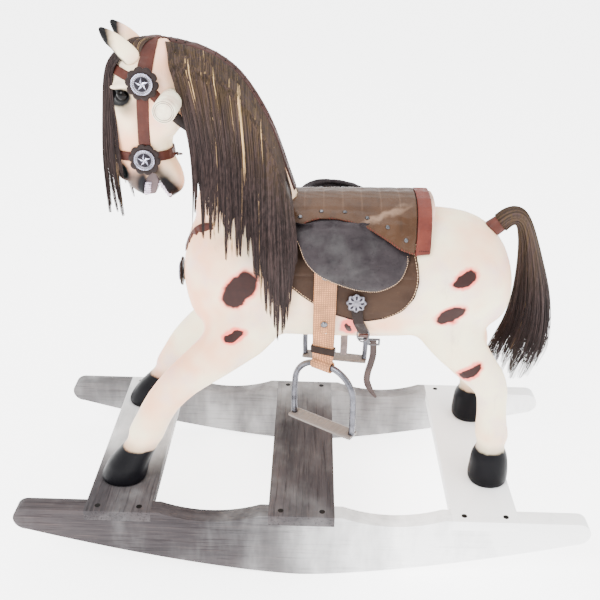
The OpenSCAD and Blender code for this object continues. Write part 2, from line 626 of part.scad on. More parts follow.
module stirrup_iron(s, yaw) {
    half = iron_w / 2 - rod_r;
    color("silver") translate([web_x(s), s * web_y, iron_bar_z]) rotate([0, 0, -yaw]) {
        rod([0, 0, 0], [0, 90, 0], rod_r, 2 * (half - iron_bend));
        for (m = [0, 1]) mirror([m, 0, 0]) {
            translate([half - iron_bend, 0, -iron_bend]) rotate([90, 0, 0]) rotate_extrude(angle = 90)
                translate([iron_bend, 0]) circle(rod_r);
            translate([half, 0, -iron_h]) cylinder(r = rod_r, h = iron_h - iron_bend);
        }
        translate([-iron_w / 2, -tread_w / 2, -iron_h - 4]) cube([iron_w, tread_w, 5]);
    }
}

rocker(-1);  // rocker_left
rocker(1);  // rocker_right
board(-board_x);  // front_board
board(0);  // center_board
board(board_x);  // rear_board
board_screws();
hoof_bolts();
torso();
neck();
head();
ear(-1);  // left_ear
ear(1);  // right_ear
eyes();
foreleg(-1);  // left_foreleg
foreleg(1);  // right_foreleg
hindleg(-1);  // left_hindleg
hindleg(1);  // right_hindleg
hand_peg(-1);  // left_hand_peg
hand_peg(1);  // right_hand_peg
mane();
mane_strip();
forelock();
tail_hair();
tail_wrap();
crown_strap();
browband();
noseband();
cheek_strap(-1);  // left_cheek_strap
cheek_strap(1);  // right_cheek_strap
throat_strap();
bridle_rosettes();
bridle_conchos();
chin_ring();
breast_collar();
breast_rosette();
breast_concho();
saddle_block();
saddle_cover();
saddle_binding();
saddle_studs();
skirt(-1);  // left_skirt
skirt(1);  // right_skirt
flap(-1);  // left_flap
flap(1);  // right_flap
flap_conchos();
girth_loops();
girth_rings();
girth_strap();
girth_buckle();
girth_end(end_pins[1], 98);  // left_girth_end
girth_end(end_pins[0], 80);  // right_girth_end
strap_pins();
webbing(-1, yaw_left);  // left_webbing
web_keeper(-1, yaw_left);  // left_web_keeper
stirrup_iron(-1, yaw_left);  // left_stirrup_iron
webbing(1, yaw_right);  // right_webbing
web_keeper(1, yaw_right);  // right_web_keeper
stirrup_iron(1, yaw_right);  // right_stirrup_iron
web_rivet(-1);  // web_rivets_left
web_rivet(1);  // web_rivets_right
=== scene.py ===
import json
import math
import bpy
import numpy as np
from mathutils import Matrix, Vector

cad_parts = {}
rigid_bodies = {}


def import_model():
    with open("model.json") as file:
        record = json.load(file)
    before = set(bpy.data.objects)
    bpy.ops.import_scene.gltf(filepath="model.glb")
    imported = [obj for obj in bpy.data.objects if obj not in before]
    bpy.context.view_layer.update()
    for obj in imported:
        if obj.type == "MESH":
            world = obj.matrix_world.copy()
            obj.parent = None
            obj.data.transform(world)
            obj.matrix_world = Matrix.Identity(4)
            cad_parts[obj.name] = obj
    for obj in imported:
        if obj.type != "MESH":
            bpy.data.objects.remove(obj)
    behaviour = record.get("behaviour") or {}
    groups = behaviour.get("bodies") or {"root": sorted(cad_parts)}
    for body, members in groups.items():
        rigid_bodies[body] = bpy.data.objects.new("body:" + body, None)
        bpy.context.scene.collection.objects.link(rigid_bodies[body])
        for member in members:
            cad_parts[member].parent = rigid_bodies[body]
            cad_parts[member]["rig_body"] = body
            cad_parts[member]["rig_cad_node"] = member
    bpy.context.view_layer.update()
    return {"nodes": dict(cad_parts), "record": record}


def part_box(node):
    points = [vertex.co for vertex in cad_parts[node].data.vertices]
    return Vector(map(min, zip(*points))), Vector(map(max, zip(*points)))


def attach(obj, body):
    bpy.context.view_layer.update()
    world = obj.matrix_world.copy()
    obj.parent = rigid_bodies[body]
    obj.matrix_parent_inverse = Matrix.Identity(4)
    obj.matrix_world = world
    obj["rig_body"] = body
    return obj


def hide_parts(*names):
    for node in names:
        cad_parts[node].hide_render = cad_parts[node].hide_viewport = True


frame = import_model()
import openvdb as vdb
from mathutils import Matrix, Vector
from mathutils.bvhtree import BVHTree

ROOT = "horse_and_stand"
NODES = frame["nodes"]
RNG = np.random.default_rng(7)


# ---------------------------------------------------------------- camera
# the camera's place in metres, its yaw, pitch and roll in radians, and its focal length over the frame's width
CAMERA_PLACE = (-0.0007, -1.3039, 1.1056)
CAMERA_ANGLES = (-0.0091, 0.4717, 0.0227)
CAMERA_FOCAL = 822.95 / 600
SENSOR_MM = 36


def make_camera():
    yaw, pitch, roll = CAMERA_ANGLES
    d = Vector((math.sin(yaw) * math.cos(pitch), math.cos(yaw) * math.cos(pitch), -math.sin(pitch)))
    r = Vector((math.cos(yaw), -math.sin(yaw), 0))
    u = r.cross(d)
    right = math.cos(roll) * r + math.sin(roll) * u
    up = -math.sin(roll) * r + math.cos(roll) * u
    data = bpy.data.cameras.new("camera")
    data.sensor_width = SENSOR_MM
    data.lens = SENSOR_MM * CAMERA_FOCAL
    data.clip_end = 60
    cam = bpy.data.objects.new("camera", data)
    bpy.context.scene.collection.objects.link(cam)
    turn = Matrix((right, up, -d)).transposed().to_4x4()
    cam.matrix_world = Matrix.Translation(CAMERA_PLACE) @ turn
    bpy.context.scene.camera = cam


make_camera()


# ---------------------------------------------------------------- materials
LIGHT = 4.0


def tone(*c):
    """The base colour that comes out as this display colour under the studio's lights."""
    out = [0.1817 * (x / 255) ** 1.109 / (1.02 - x / 255) ** 1.433 / LIGHT for x in c]
    return tuple([min(v, 0.92) for v in out] + [1.0])


class Look:
    """A procedural material; its texture space is the object's own, in metres."""

    def __init__(self, name, color=(200, 200, 200), rough=0.5, metal=0.0, **sockets):
        self.m = bpy.data.materials.new(name)
        self.m.use_nodes = True
        self.t = self.m.node_tree
        self.b = self.t.nodes["Principled BSDF"]
        self.b.inputs["Base Color"].default_value = tone(*color)
        self.b.inputs["Roughness"].default_value = rough
        self.b.inputs["Metallic"].default_value = metal
        for k, v in sockets.items():
            self.b.inputs[k.replace("_", " ")].default_value = v
        self.co = self.t.nodes.new("ShaderNodeTexCoord").outputs["Object"]

    def put(self, socket, value):
        if hasattr(value, "is_output"):
            self.t.links.new(value, socket)
        else:
            socket.default_value = value

    def math(self, op, a, b=0.0, clamp=False):
        n = self.t.nodes.new("ShaderNodeMath")
        n.operation = op
        n.use_clamp = clamp
        self.put(n.inputs[0], a)
        self.put(n.inputs[1], b)
        return n.outputs[0]

    def vec(self, op, a, b=(0, 0, 0)):
        n = self.t.nodes.new("ShaderNodeVectorMath")
        n.operation = op
        self.put(n.inputs[0], a)
        self.put(n.inputs[1], b)
        return n.outputs["Value"] if op in ("LENGTH", "DISTANCE", "DOT_PRODUCT") else n.outputs[0]

    def place(self, scale=(1, 1, 1), rot=(0, 0, 0), loc=(0, 0, 0), vec=None):
        n = self.t.nodes.new("ShaderNodeMapping")
        self.put(n.inputs["Vector"], self.co if vec is None else vec)
        n.inputs["Scale"].default_value = scale
        n.inputs["Rotation"].default_value = rot
        n.inputs["Location"].default_value = loc
        return n.outputs[0]

    def noise(self, scale, detail=3.0, rough=0.55, vec=None, distort=0.0, color=False):
        n = self.t.nodes.new("ShaderNodeTexNoise")
        self.put(n.inputs["Vector"], self.co if vec is None else vec)
        n.inputs["Scale"].default_value = scale
        n.inputs["Detail"].default_value = detail
        n.inputs["Roughness"].default_value = rough
        n.inputs["Distortion"].default_value = distort
        return n.outputs["Color" if color else "Fac"]

    def wave(self, scale, direction="X", vec=None, distort=0.0):
        n = self.t.nodes.new("ShaderNodeTexWave")
        n.bands_direction = direction
        self.put(n.inputs["Vector"], self.co if vec is None else vec)
        n.inputs["Scale"].default_value = scale
        n.inputs["Distortion"].default_value = distort
        return n.outputs["Fac"]

    def voronoi(self, scale):
        n = self.t.nodes.new("ShaderNodeTexVoronoi")
        self.put(n.inputs["Vector"], self.co)
        n.inputs["Scale"].default_value = scale
        return n.outputs["Distance"]

    def rise(self, value, lo, hi, to_lo=0.0, to_hi=1.0):
        n = self.t.nodes.new("ShaderNodeMapRange")
        n.interpolation_type = "SMOOTHSTEP"
        self.put(n.inputs["Value"], value)
        for k, v in (("From Min", lo), ("From Max", hi), ("To Min", to_lo), ("To Max", to_hi)):
            n.inputs[k].default_value = v
        return n.outputs["Result"]

    def mix(self, fac, a, b):
        n = self.t.nodes.new("ShaderNodeMix")
        n.data_type = "RGBA"
        self.put(n.inputs[0], fac)
        self.put(n.inputs[6], a)
        self.put(n.inputs[7], b)
        return n.outputs[2]

    def axis(self, k, vec=None):
        n = self.t.nodes.new("ShaderNodeSeparateXYZ")
        self.put(n.inputs[0], self.co if vec is None else vec)
        return n.outputs[k]

    def shifted(self, amount, scale):
        """The texture space pushed about by noise, so that painted edges wander."""
        wob = self.vec("SUBTRACT", self.noise(scale, 2.0, color=True), (0.5, 0.5, 0.5))
        wob = self.vec("MULTIPLY", wob, (amount, amount, amount))
        return self.vec("ADD", self.co, wob)

    def blob(self, centre, radii, turn=0.0, vec=None, inner=0.75, outer=1.0):
        """1 inside an ellipsoid turned in the xz plane, falling to 0 between inner and outer."""
        p = self.vec("SUBTRACT", self.co if vec is None else vec, centre)
        r = self.t.nodes.new("ShaderNodeVectorRotate")
        r.rotation_type = "Y_AXIS"
        self.put(r.inputs["Vector"], p)
        r.inputs["Angle"].default_value = turn
        q = self.vec("DIVIDE", r.outputs[0], radii)
        return self.rise(self.vec("LENGTH", q), inner, outer, 1.0, 0.0)

    def color(self, c):
        self.put(self.b.inputs["Base Color"], c)

    def rough(self, v):
        self.put(self.b.inputs["Roughness"], v)

    def bump(self, height, strength=0.3, distance=0.001):
        n = self.t.nodes.new("ShaderNodeBump")
        n.inputs["Strength"].default_value = strength
        n.inputs["Distance"].default_value = distance
        self.put(n.inputs["Height"], height)
        old = self.b.inputs["Normal"]
        if old.is_linked:
            self.t.links.new(old.links[0].from_socket, n.inputs["Normal"])
        self.t.links.new(n.outputs[0], old)
        return self


CREAM = tone(236, 229, 221)
WARM = tone(232, 216, 200)
COOL = tone(226, 218, 220)
BLACK = tone(14, 14, 16)


def cream(look):
    """Cream paint over carved wood: slow tone changes, faint brush marks, a little dirt."""
    c = look.mix(look.rise(look.noise(7, 3), 0.35, 0.7), CREAM, WARM)
    c = look.mix(look.rise(look.noise(16, 4), 0.45, 0.8, 0, 0.7), c, COOL)
    brush = look.noise(60, 4, 0.6, vec=look.place((1, 1, 0.25)))
    c = look.mix(look.rise(brush, 0.62, 0.8, 0, 0.22), c, tone(196, 178, 164))
    look.bump(brush, 0.25, 0.0008)
    look.bump(look.noise(420, 3), 0.12, 0.0004)
    look.rough(look.rise(look.noise(24, 3), 0.3, 0.8, 0.34, 0.5))
    return c


def paint_body():
    k = Look("painted_horse", rough=0.45, Specular_IOR_Level=0.08)
    c = cream(k)
    soft = k.shifted(0.030, 42)
    fine = k.shifted(0.006, 150)
    vec = k.vec("MULTIPLY", k.vec("ADD", soft, fine), (0.5, 0.5, 0.5))
    spots = [((-0.112, -0.100, 0.505), (0.041, 0.06, 0.0225), 58),
             ((-0.120, -0.11, 0.4255), (0.0175, 0.05, 0.0085), 24),
             ((0.253, -0.105, 0.538), (0.0235, 0.05, 0.0115), 28),
             ((0.237, -0.106, 0.473), (0.028, 0.05, 0.0145), 32),
             ((0.280, -0.108, 0.365), (0.0225, 0.05, 0.0092), 46),
             ((0.070, -0.092, 0.436), (0.006, 0.05, 0.013), 20),
             ((-0.100, 0.100, 0.520), (0.034, 0.06, 0.020), 120),
             ((0.232, 0.105, 0.510), (0.030, 0.05, 0.017), 150),
             ((0.292, 0.100, 0.400), (0.022, 0.05, 0.010), 60),
             ((-0.160, 0.100, 0.440), (0.018, 0.05, 0.010), 20)]
    dark = pink = None
    for p, r, a in spots:
        turn = math.radians(a)
        wide = tuple(x + (0.013 if r[0] < 0.01 else 0.0075) for x in r)
        d = k.blob(p, r, turn, vec, 0.86, 1.04)
        h = k.blob(p, wide, turn, vec, 0.66, 1.02)
        dark = d if dark is None else k.math("MAXIMUM", dark, d)
        pink = h if pink is None else k.math("MAXIMUM", pink, h)
    c = k.mix(k.math("MULTIPLY", pink, 0.85), c, tone(232, 158, 150))
    brown = k.mix(k.noise(90, 3), tone(100, 60, 54), tone(74, 50, 50))
    c = k.mix(dark, c, brown)
    z = k.axis(2)
    edge = k.math("ADD", z, k.math("MULTIPLY", k.math("SUBTRACT", k.noise(46, 3), 0.5), 0.010))
    smoke = k.rise(edge, 0.196, 0.226, 1, 0)
    c = k.mix(k.math("MULTIPLY", smoke, 0.55), c, tone(60, 54, 56))
    hoof = k.rise(edge, 0.198, 0.204, 1, 0)
    c = k.mix(hoof, c, k.mix(k.noise(30, 3), tone(14, 14, 18), tone(32, 31, 38)))
    k.color(c)
    return k.m


def paint_head():
    k = Look("painted_head", rough=0.45, Specular_IOR_Level=0.08)
    c = cream(k)
    vec = k.shifted(0.005, 70)
    level = k.math("SUBTRACT", k.axis(2), k.math("MULTIPLY", k.axis(0), 0.14))
    below_brow = k.rise(level, 0.8585, 0.8625, 1, 0)
    smoke = k.blob((-0.288, 0, 0.794), (0.034, 0.2, 0.028), math.radians(-35), vec, 0.15, 1.05)
    smoke = k.math("MULTIPLY", k.math("MULTIPLY", smoke, below_brow), 0.85)
    eye = k.math("MULTIPLY", k.blob((-0.2975, 0, 0.8045), (0.0250, 0.2, 0.0180), math.radians(14), vec,
                                    0.75, 1.05), below_brow)
    muzzle = k.blob((-0.286, 0, 0.662), (0.034, 0.2, 0.034), math.radians(-35), vec, 0.30, 1.10)
    nostril = k.blob((-0.302, 0, 0.681), (0.013, 0.2, 0.020), math.radians(20), vec, 0.55, 1.1)
    upper = k.blob((-0.2735, 0, 0.655), (0.0105, 0.2, 0.036), math.radians(-10), vec, 0.45, 1.35)
    corner = k.blob((-0.256, 0, 0.688), (0.020, 0.2, 0.014), math.radians(-30), vec, 0.3, 1.2)
    lower = k.blob((-0.2285, 0, 0.652), (0.052, 0.2, 0.0155), math.radians(-58), vec, 0.4, 1.4)
    c = k.mix(smoke, c, tone(66, 62, 62))
    c = k.mix(k.math("MULTIPLY", muzzle, 0.92), c, tone(92, 84, 84))
    c = k.mix(upper, c, tone(30, 28, 36))
    c = k.mix(corner, c, tone(44, 38, 40))
    c = k.mix(lower, c, tone(24, 20, 24))
    c = k.mix(nostril, c, tone(14, 20, 22))
    c = k.mix(eye, c, BLACK)
    k.color(c)
    return k.m


def paint_ears():
    k = Look("painted_ears", rough=0.45, Specular_IOR_Level=0.08)
    c = cream(k)
    vec = k.shifted(0.005, 90)
    along = k.vec("DOT_PRODUCT", k.vec("SUBTRACT", vec, (-0.259, 0, 0.841)), (-0.69, 0, 0.72))
    front = k.vec("DOT_PRODUCT", k.vec("SUBTRACT", vec, (-0.259, 0, 0.841)), (-0.72, 0, -0.69))
    tip = k.rise(k.math("ADD", along, k.math("MULTIPLY", front, 1.3)), 0.050, 0.074)
    c = k.mix(tip, c, tone(24, 24, 26))
    rim = k.math("MULTIPLY", k.rise(front, 0.005, 0.010), k.rise(along, 0.012, 0.030))
    c = k.mix(k.math("MULTIPLY", rim, 0.92), c, tone(34, 32, 34))
    k.color(c)
    return k.m


def leather(name, a, b, rough=0.42, crease=0.35, scale=1.0, gloss=0.10):
    """Tanned leather: pores, fine wrinkles, darker and lighter patches."""
    k = Look(name, rough=rough, Specular_IOR_Level=gloss)
    c = k.mix(k.rise(k.noise(22 * scale, 4), 0.3, 0.75), tone(*a), tone(*b))
    pores = k.voronoi(900 * scale)
    wear = k.rise(k.noise(70 * scale, 5, 0.65), 0.58, 0.76, 0, 0.35)
    c = k.mix(wear, c, tone(*[min(240, x + 26) for x in a]))
    k.color(c)
    k.rough(k.rise(k.noise(120 * scale, 3), 0.3, 0.7, rough - 0.1, rough + 0.14))
    k.bump(pores, crease, 0.0004)
    k.bump(k.noise(150 * scale, 4, 0.65), crease, 0.0009)
    return k


def metal(name, color=(190, 190, 192), rough=0.28, scratch=260, brushed=(1, 1, 6)):
    k = Look(name, color, rough, 1.0)
    n = k.noise(scratch, 5, 0.7, vec=k.place(brushed))
    k.color(k.mix(k.rise(k.noise(60, 4), 0.4, 0.75), tone(*color), tone(*[int(x * 0.72) for x in color])))
    k.rough(k.rise(n, 0.3, 0.7, max(0.05, rough - 0.1), rough + 0.16))
    k.bump(n, 0.12, 0.0003)
    return k.m


def stained_wood(name, grain="X", glare_level=0.4, glare_x=None, glare_y=None):
    """Brushed, dark-stained softwood, paled by painted glare in soft patches and, where asked, rising along x or y,
    which the grain breaks through.
    """
    k = Look(name, rough=0.65, Specular_IOR_Level=0.06)
    along = grain == "X"
    broad = k.noise(22, 4, 0.6, vec=k.place((0.14, 1, 1) if along else (1, 0.14, 1)), distort=0.5)
    lines = k.noise(190, 6, 0.72, vec=k.place((0.045, 1, 1) if along else (1, 0.045, 1)), distort=0.2)
    fine = k.noise(560, 4, 0.6, vec=k.place((0.03, 1, 1) if along else (1, 0.03, 1)))
    patch = k.noise(13, 4, 0.55, vec=k.place((1, 0.8, 0.35) if along else (0.8, 0.6, 1)))
    dark = k.mix(k.rise(broad, 0.3, 0.7), tone(92, 86, 90), tone(128, 120, 122))
    dark = k.mix(k.rise(broad, 0.58, 0.8, 0, 0.4), dark, tone(122, 98, 92))
    dark = k.mix(k.rise(lines, 0.48, 0.70, 0, 0.7), dark, tone(66, 58, 62))
    dark = k.mix(k.rise(fine, 0.52, 0.78, 0, 0.4), dark, tone(166, 152, 148))
    # painted glare: light bleaching the dark stain out, in soft patches, along the given axes and by the given base
    # level
    glare = k.math("ADD", k.rise(patch, 0.30, 0.72, -0.10, 0.20), glare_level)
    if glare_x:
        glare = k.math("ADD", glare, k.rise(k.axis(0), *glare_x))
    if glare_y:
        glare = k.math("ADD", glare, k.rise(k.axis(1), *glare_y))
    glare = k.math("SUBTRACT", glare, k.rise(lines, 0.50, 0.74, 0, 0.10))
    glare = k.math("MULTIPLY", glare, 1.0, clamp=True)
    glare = k.math("MULTIPLY", glare, glare)
    k.color(k.mix(glare, dark, tone(244, 243, 243)))
    k.bump(lines, 0.35, 0.0012)
    k.bump(fine, 0.2, 0.0005)
    return k.m


def hair(name, root, a, b, rough=0.42):
    """Hair: an olive brown near its roots, darker and redder below, with fine streaks."""
    k = Look(name, rough=rough, Specular_IOR_Level=0.08)
    n = k.noise(260, 4, 0.6, vec=k.place((1, 1, 0.05)))
    c = k.mix(k.rise(n, 0.35, 0.7), tone(*a), tone(*b))
    x, z = k.axis(0), k.axis(2)
    mane = k.rise(k.math("ADD", z, k.math("MULTIPLY", x, 0.9)), 0.575, 0.70)
    tail = k.rise(z, 0.44, 0.60)
    is_tail = k.rise(x, 0.20, 0.21)
    near_root = k.math("ADD", k.math("MULTIPLY", mane, k.math("SUBTRACT", 1.0, is_tail)),
                       k.math("MULTIPLY", tail, is_tail))
    c = k.mix(k.math("MULTIPLY", near_root, 0.8), c, k.mix(k.rise(n, 0.35, 0.7), tone(*root), tone(*b)))
    k.color(c)
    k.bump(n, 0.3, 0.0006)
    return k.m


# ---------------------------------------------------------------- meshes
def mesh_object(name, verts, faces, mats, smooth=True, index=None):
    me = bpy.data.meshes.new(name)
    me.from_pydata([tuple(v) for v in verts], [], [tuple(f) for f in faces])
    for m in (mats if isinstance(mats, (list, tuple)) else [mats]):
        me.materials.append(m)
    if index is not None:
        me.polygons.foreach_set("material_index", np.asarray(index, np.int32))
    me.polygons.foreach_set("use_smooth", np.full(len(me.polygons), smooth))
    me.update()
    o = bpy.data.objects.new(name, me)
    bpy.context.scene.collection.objects.link(o)
    return o


def quad_mesh(name, pts, quads, mat):
    me = bpy.data.meshes.new(name)
    me.vertices.add(len(pts))
    me.vertices.foreach_set("co", np.ascontiguousarray(pts, np.float32).ravel())
    me.loops.add(len(quads) * 4)
    me.loops.foreach_set("vertex_index", np.ascontiguousarray(quads, np.int32).ravel())
    me.polygons.add(len(quads))
    me.polygons.foreach_set("loop_start", np.arange(0, len(quads) * 4, 4, dtype=np.int32))
    me.polygons.foreach_set("use_smooth", np.ones(len(quads), bool))
    me.update(calc_edges=True)
    me.validate()
    me.materials.append(mat)
    o = bpy.data.objects.new(name, me)
    bpy.context.scene.collection.objects.link(o)
    return o


def points_of(o):
    """The positions of an object's vertices."""
    co = np.empty(len(o.data.vertices) * 3, np.float32)
    o.data.vertices.foreach_get("co", co)
    return co.reshape(-1, 3)


def move_to(o, co):
    """Gives an object's vertices new positions."""
    o.data.vertices.foreach_set("co", np.asarray(co, np.float32).ravel())
    o.data.update()


def tree_of(o):
    """A search tree of an object's faces."""
    return BVHTree.FromPolygons([v.co for v in o.data.vertices], [p.vertices for p in o.data.polygons])


def triangles(names):
    """The vertices and triangles of some CAD nodes, as one mesh."""
    vs, ts, n = [], [], 0
    for name in names:
        me = NODES[name].data
        me.calc_loop_triangles()
        tri = np.empty(len(me.loop_triangles) * 3, np.int32)
        me.loop_triangles.foreach_get("vertices", tri)
        vs.append(points_of(NODES[name]))
        ts.append(tri.reshape(-1, 3) + n)
        n += len(me.vertices)
    return np.concatenate(vs), np.concatenate(ts).astype(np.uint32)


def level(verts, tris, vox, band):
    tr = vdb.createLinearTransform(voxelSize=vox)
    g = vdb.FloatGrid.createLevelSetFromPolygons(points=verts, triangles=tris, transform=tr,
                                                 halfWidth=float(band))
    lo, hi = g.evalActiveVoxelBoundingBox()
    lo = np.array(lo) - 3
    a = np.empty(np.array(hi) + 4 - lo, np.float32)
    g.copyToArray(a, ijk=tuple(int(x) for x in lo))
    return a, lo


def skin_of(a, lo, vox):
    g = vdb.FloatGrid(float(np.abs(a).max()))
    g.transform = vdb.createLinearTransform(voxelSize=vox)
    g.copyFromArray(np.ascontiguousarray(a, np.float32), ijk=tuple(int(x) for x in lo))
    return g.convertToQuads(isovalue=0.0)


def blur(a, times):
    for _ in range(times):
        for ax in range(3):
            b = a.copy()
            up = [slice(None)] * 3
            dn = [slice(None)] * 3
            mid = [slice(None)] * 3
            up[ax], dn[ax], mid[ax] = slice(2, None), slice(0, -2), slice(1, -1)
            b[tuple(mid)] = 0.5 * a[tuple(mid)] + 0.25 * (a[tuple(up)] + a[tuple(dn)])
            a = b
    return a


def grid(a, lo, vox):
    return [((lo[i] + np.arange(a.shape[i])) * vox).reshape([-1 if j == i else 1
                                                             for j in range(3)]).astype(np.float32)
            for i in range(3)]


def ball(P, c, r, turn=0.0):
    """Signed distance, near enough, to an ellipsoid turned by turn degrees in the xz plane."""
    X, Y, Z = P[0] - c[0], P[1] - c[1], P[2] - c[2]
    t = math.radians(turn)
    u, w = X * math.cos(t) + Z * math.sin(t), -X * math.sin(t) + Z * math.cos(t)
    k = np.sqrt((u / r[0]) ** 2 + (Y / r[1]) ** 2 + (w / r[2]) ** 2)
    return (k - 1) * min(r)


def to_line(P, pts):
    """Distance in the xz plane to a line of points."""
    X, Z = P[0] + 0 * P[2], P[2] + 0 * P[0]
    d = np.full(X.shape, 9.0)
    for (x0, z0), (x1, z1) in zip(pts, pts[1:]):
        ex, ez = x1 - x0, z1 - z0
        t = np.clip(((X - x0) * ex + (Z - z0) * ez) / (ex * ex + ez * ez), 0, 1)
        d = np.minimum(d, np.hypot(X - x0 - t * ex, Z - z0 - t * ez))
    return d


def outline(P, pts):
    """Signed distance in the xz plane to a closed outline, negative inside."""
    pts = pts + pts[:1]
    X, Z = P[0] + 0 * P[2], P[2] + 0 * P[0]
    inside = np.zeros(X.shape, bool)
    for (x0, z0), (x1, z1) in zip(pts, pts[1:]):
        if z0 != z1:
            inside ^= ((z0 > Z) != (z1 > Z)) & (X < x0 + (Z - z0) / (z1 - z0) * (x1 - x0))
    d = to_line(P, pts)
    return np.where(inside, -d, d)


def solid(name, lo, hi, vox, fn, mat, body=ROOT, smooth=2):
    """A smooth closed mesh from a distance function over a box."""
    first = np.floor(np.array(lo) / vox).astype(int)
    shape = np.ceil(np.array(hi) / vox).astype(int) - first
    a = np.zeros(shape, np.float32)
    a = np.broadcast_to(fn(grid(a, first, vox)), shape).astype(np.float32)
    a = blur(np.clip(a, -5 * vox, 5 * vox), smooth)
    p, q = skin_of(a, first, vox)
    return finish_piece(quad_mesh(name, p, q, mat), body)


def smin(a, b, k):
    h = np.clip(0.5 + 0.5 * (b - a) / k, 0, 1)
    return b + (a - b) * h - k * h * (1 - h)


def smax(a, b, k):
    return -smin(-a, -b, k)


def sculpt(name, nodes, vox, mat, body=ROOT, smooth=2, close=0.0, edit=None, grow=0.0, band=4,
           keep=False):
    """A smooth closed mesh round some CAD nodes, which it stands for."""
    v, t = triangles(nodes)
    a, lo = level(v, t, vox, band if not close else close / vox + 3)
    if close:
        p, q = skin_of(a - close, lo, vox)
        t2 = np.concatenate([q[:, [0, 1, 2]], q[:, [0, 2, 3]]]).astype(np.uint32)
        a, lo = level(p, t2, vox, close / vox + 4)
        a = a + close
    if edit:
        a = edit(a, grid(a, lo, vox))
    a = blur(a, smooth) - grow
    p, q = skin_of(a, lo, vox)
    return finish_piece(quad_mesh(name, p, q, mat), body, () if keep else nodes)


def finish_piece(o, body, nodes=()):
    """Says which body a piece rides on, and hides the CAD nodes that it stands for."""
    if nodes:
        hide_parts(*nodes)
    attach(o, body)
    return o


def ring_faces(n, m):
    """The faces of a closed skin over n rings of m points."""
    f = [(i * m + j, i * m + (j + 1) % m, (i + 1) * m + (j + 1) % m, (i + 1) * m + j)
         for i in range(n - 1) for j in range(m)]
    return f + [tuple(range(m - 1, -1, -1)), tuple(range((n - 1) * m, n * m))]


def slab_faces(nu, nw):
    """The faces of a closed slab between two grids of nu by nw points, its front and then its back."""
    n = nu * nw
    f = [(i * nw + k, (i + 1) * nw + k, (i + 1) * nw + k + 1, i * nw + k + 1)
         for i in range(nu - 1) for k in range(nw - 1)]
    f += [(q[3] + n, q[2] + n, q[1] + n, q[0] + n) for q in f]
    rim = [i * nw for i in range(nu)] + [(nu - 1) * nw + k for k in range(1, nw)]
    rim += [i * nw + nw - 1 for i in range(nu - 2, -1, -1)] + list(range(nw - 2, 0, -1))
    return f + [(b, a, a + n, b + n) for a, b in zip(rim, rim[1:] + rim[:1])]


def frames(path):
    """Tangent, side and up vectors along each path; path is (..., n, 3)."""
    t = np.gradient(path, axis=-2)
    t /= np.linalg.norm(t, axis=-1, keepdims=True) + 1e-12
    ref = np.where(np.abs(t[..., 1:2]) > 0.9, np.array([1.0, 0, 0]), np.array([0, 1.0, 0]))
    s = np.cross(t, ref)
    s /= np.linalg.norm(s, axis=-1, keepdims=True) + 1e-12
    return t, s, np.cross(t, s)


def tubes(paths, radii, sides=4):
    """Closed tubes along many paths at once: paths (k, n, 3), radii (k, n)."""
    k, n, _ = paths.shape
    _, s, u = frames(paths)
    ang = np.arange(sides) * 2 * math.pi / sides
    ring = (np.cos(ang)[None, None, :, None] * s[:, :, None] + np.sin(ang)[None, None, :, None]
            * u[:, :, None])
    v = (paths[:, :, None] + ring * radii[:, :, None, None]).reshape(-1, 3)
    base = (np.arange(k) * n * sides)[:, None, None]
    i = (np.arange(n - 1) * sides)[None, :, None]
    j = np.arange(sides)[None, None, :]
    a = base + i + j
    b = base + i + (j + 1) % sides
    f = np.stack([a, b, b + sides, a + sides], -1).reshape(-1, 4)
    faces = [tuple(x) for x in f]
    for c in range(k):
        faces.append(tuple(range(c * n * sides + sides - 1, c * n * sides - 1, -1)))
        faces.append(tuple(range((c + 1) * n * sides - sides, (c + 1) * n * sides)))
    return v, faces, (n - 1) * sides


def tube(name, path, radius, mat, sides=8):
    path = np.asarray(path, float)[None]
    r = np.broadcast_to(np.asarray(radius, float), path.shape[1])[None]
    v, f, _ = tubes(path, r, sides)
    return mesh_object(name, v, f, mat)


def resample(path, step):
    path = np.asarray(path, float)
    d = np.concatenate([[0], np.cumsum(np.linalg.norm(np.diff(path, axis=0), axis=1))])
    n = max(2, int(round(d[-1] / step)) + 1)
    s = np.linspace(0, d[-1], n)
    return np.stack([np.interp(s, d, path[:, i]) for i in range(3)], 1)


def curve(rows, n):
    """Catmull-Rom through rows, n points."""
    rows = np.asarray(rows, float)
    u = np.linspace(0, len(rows) - 1 - 1e-9, n)
    return catmull(rows, u)


def catmull(rows, u):
    rows = np.asarray(rows, float)
    u = np.clip(u, 0, len(rows) - 1 - 1e-9)
    i = np.floor(u).astype(int)
    f = (u - i)[..., None]
    last = len(rows) - 1
    p = [rows[np.clip(i + k, 0, last)] for k in (-1, 0, 1, 2)]
    return 0.5 * (2 * p[1] + (p[2] - p[0]) * f + (2 * p[0] - 5 * p[1] + 4 * p[2] - p[3]) * f ** 2
                  + (3 * p[1] - p[0] - 3 * p[2] + p[3]) * f ** 3)


def drape(objs, xz, side, lift):
    """Points on the outermost of some pieces, seen from one side, lifted off them."""
    trees = [tree_of(o) for o in objs]
    out = []
    for x, z in xz:
        best = None
        for tr in trees:
            hit, nor, _, dist = tr.ray_cast(Vector((x, side * 0.4, z)), Vector((0, -side, 0)))
            if hit is not None and (best is None or dist < best[2]):
                best = (hit, nor, dist)
        if best is None:
            continue
        nor = best[1] if best[1].y * side > 0 else -best[1]
        out.append(list(best[0] + nor * lift))
    return np.array(out)


def dashes(name, path, stitch, gap, radius, mat, body):
    """A row of stitches along a path."""
    path = resample(path, (stitch + gap) / 6)
    per = 6
    pieces, keep = [], int(round(per * stitch / (stitch + gap)))
    for i in range(0, len(path) - keep, per):
        pieces.append(path[i:i + keep + 1])
    if not pieces:
        return None
    paths = np.array(pieces)
    shape = np.sin(np.linspace(0.25, math.pi - 0.25, paths.shape[1]))
    v, f, _ = tubes(paths, np.broadcast_to(radius * (0.55 + 0.45 * shape), paths.shape[:2]), 5)
    o = mesh_object(name, v, f, mat)
    return finish_piece(o, body)


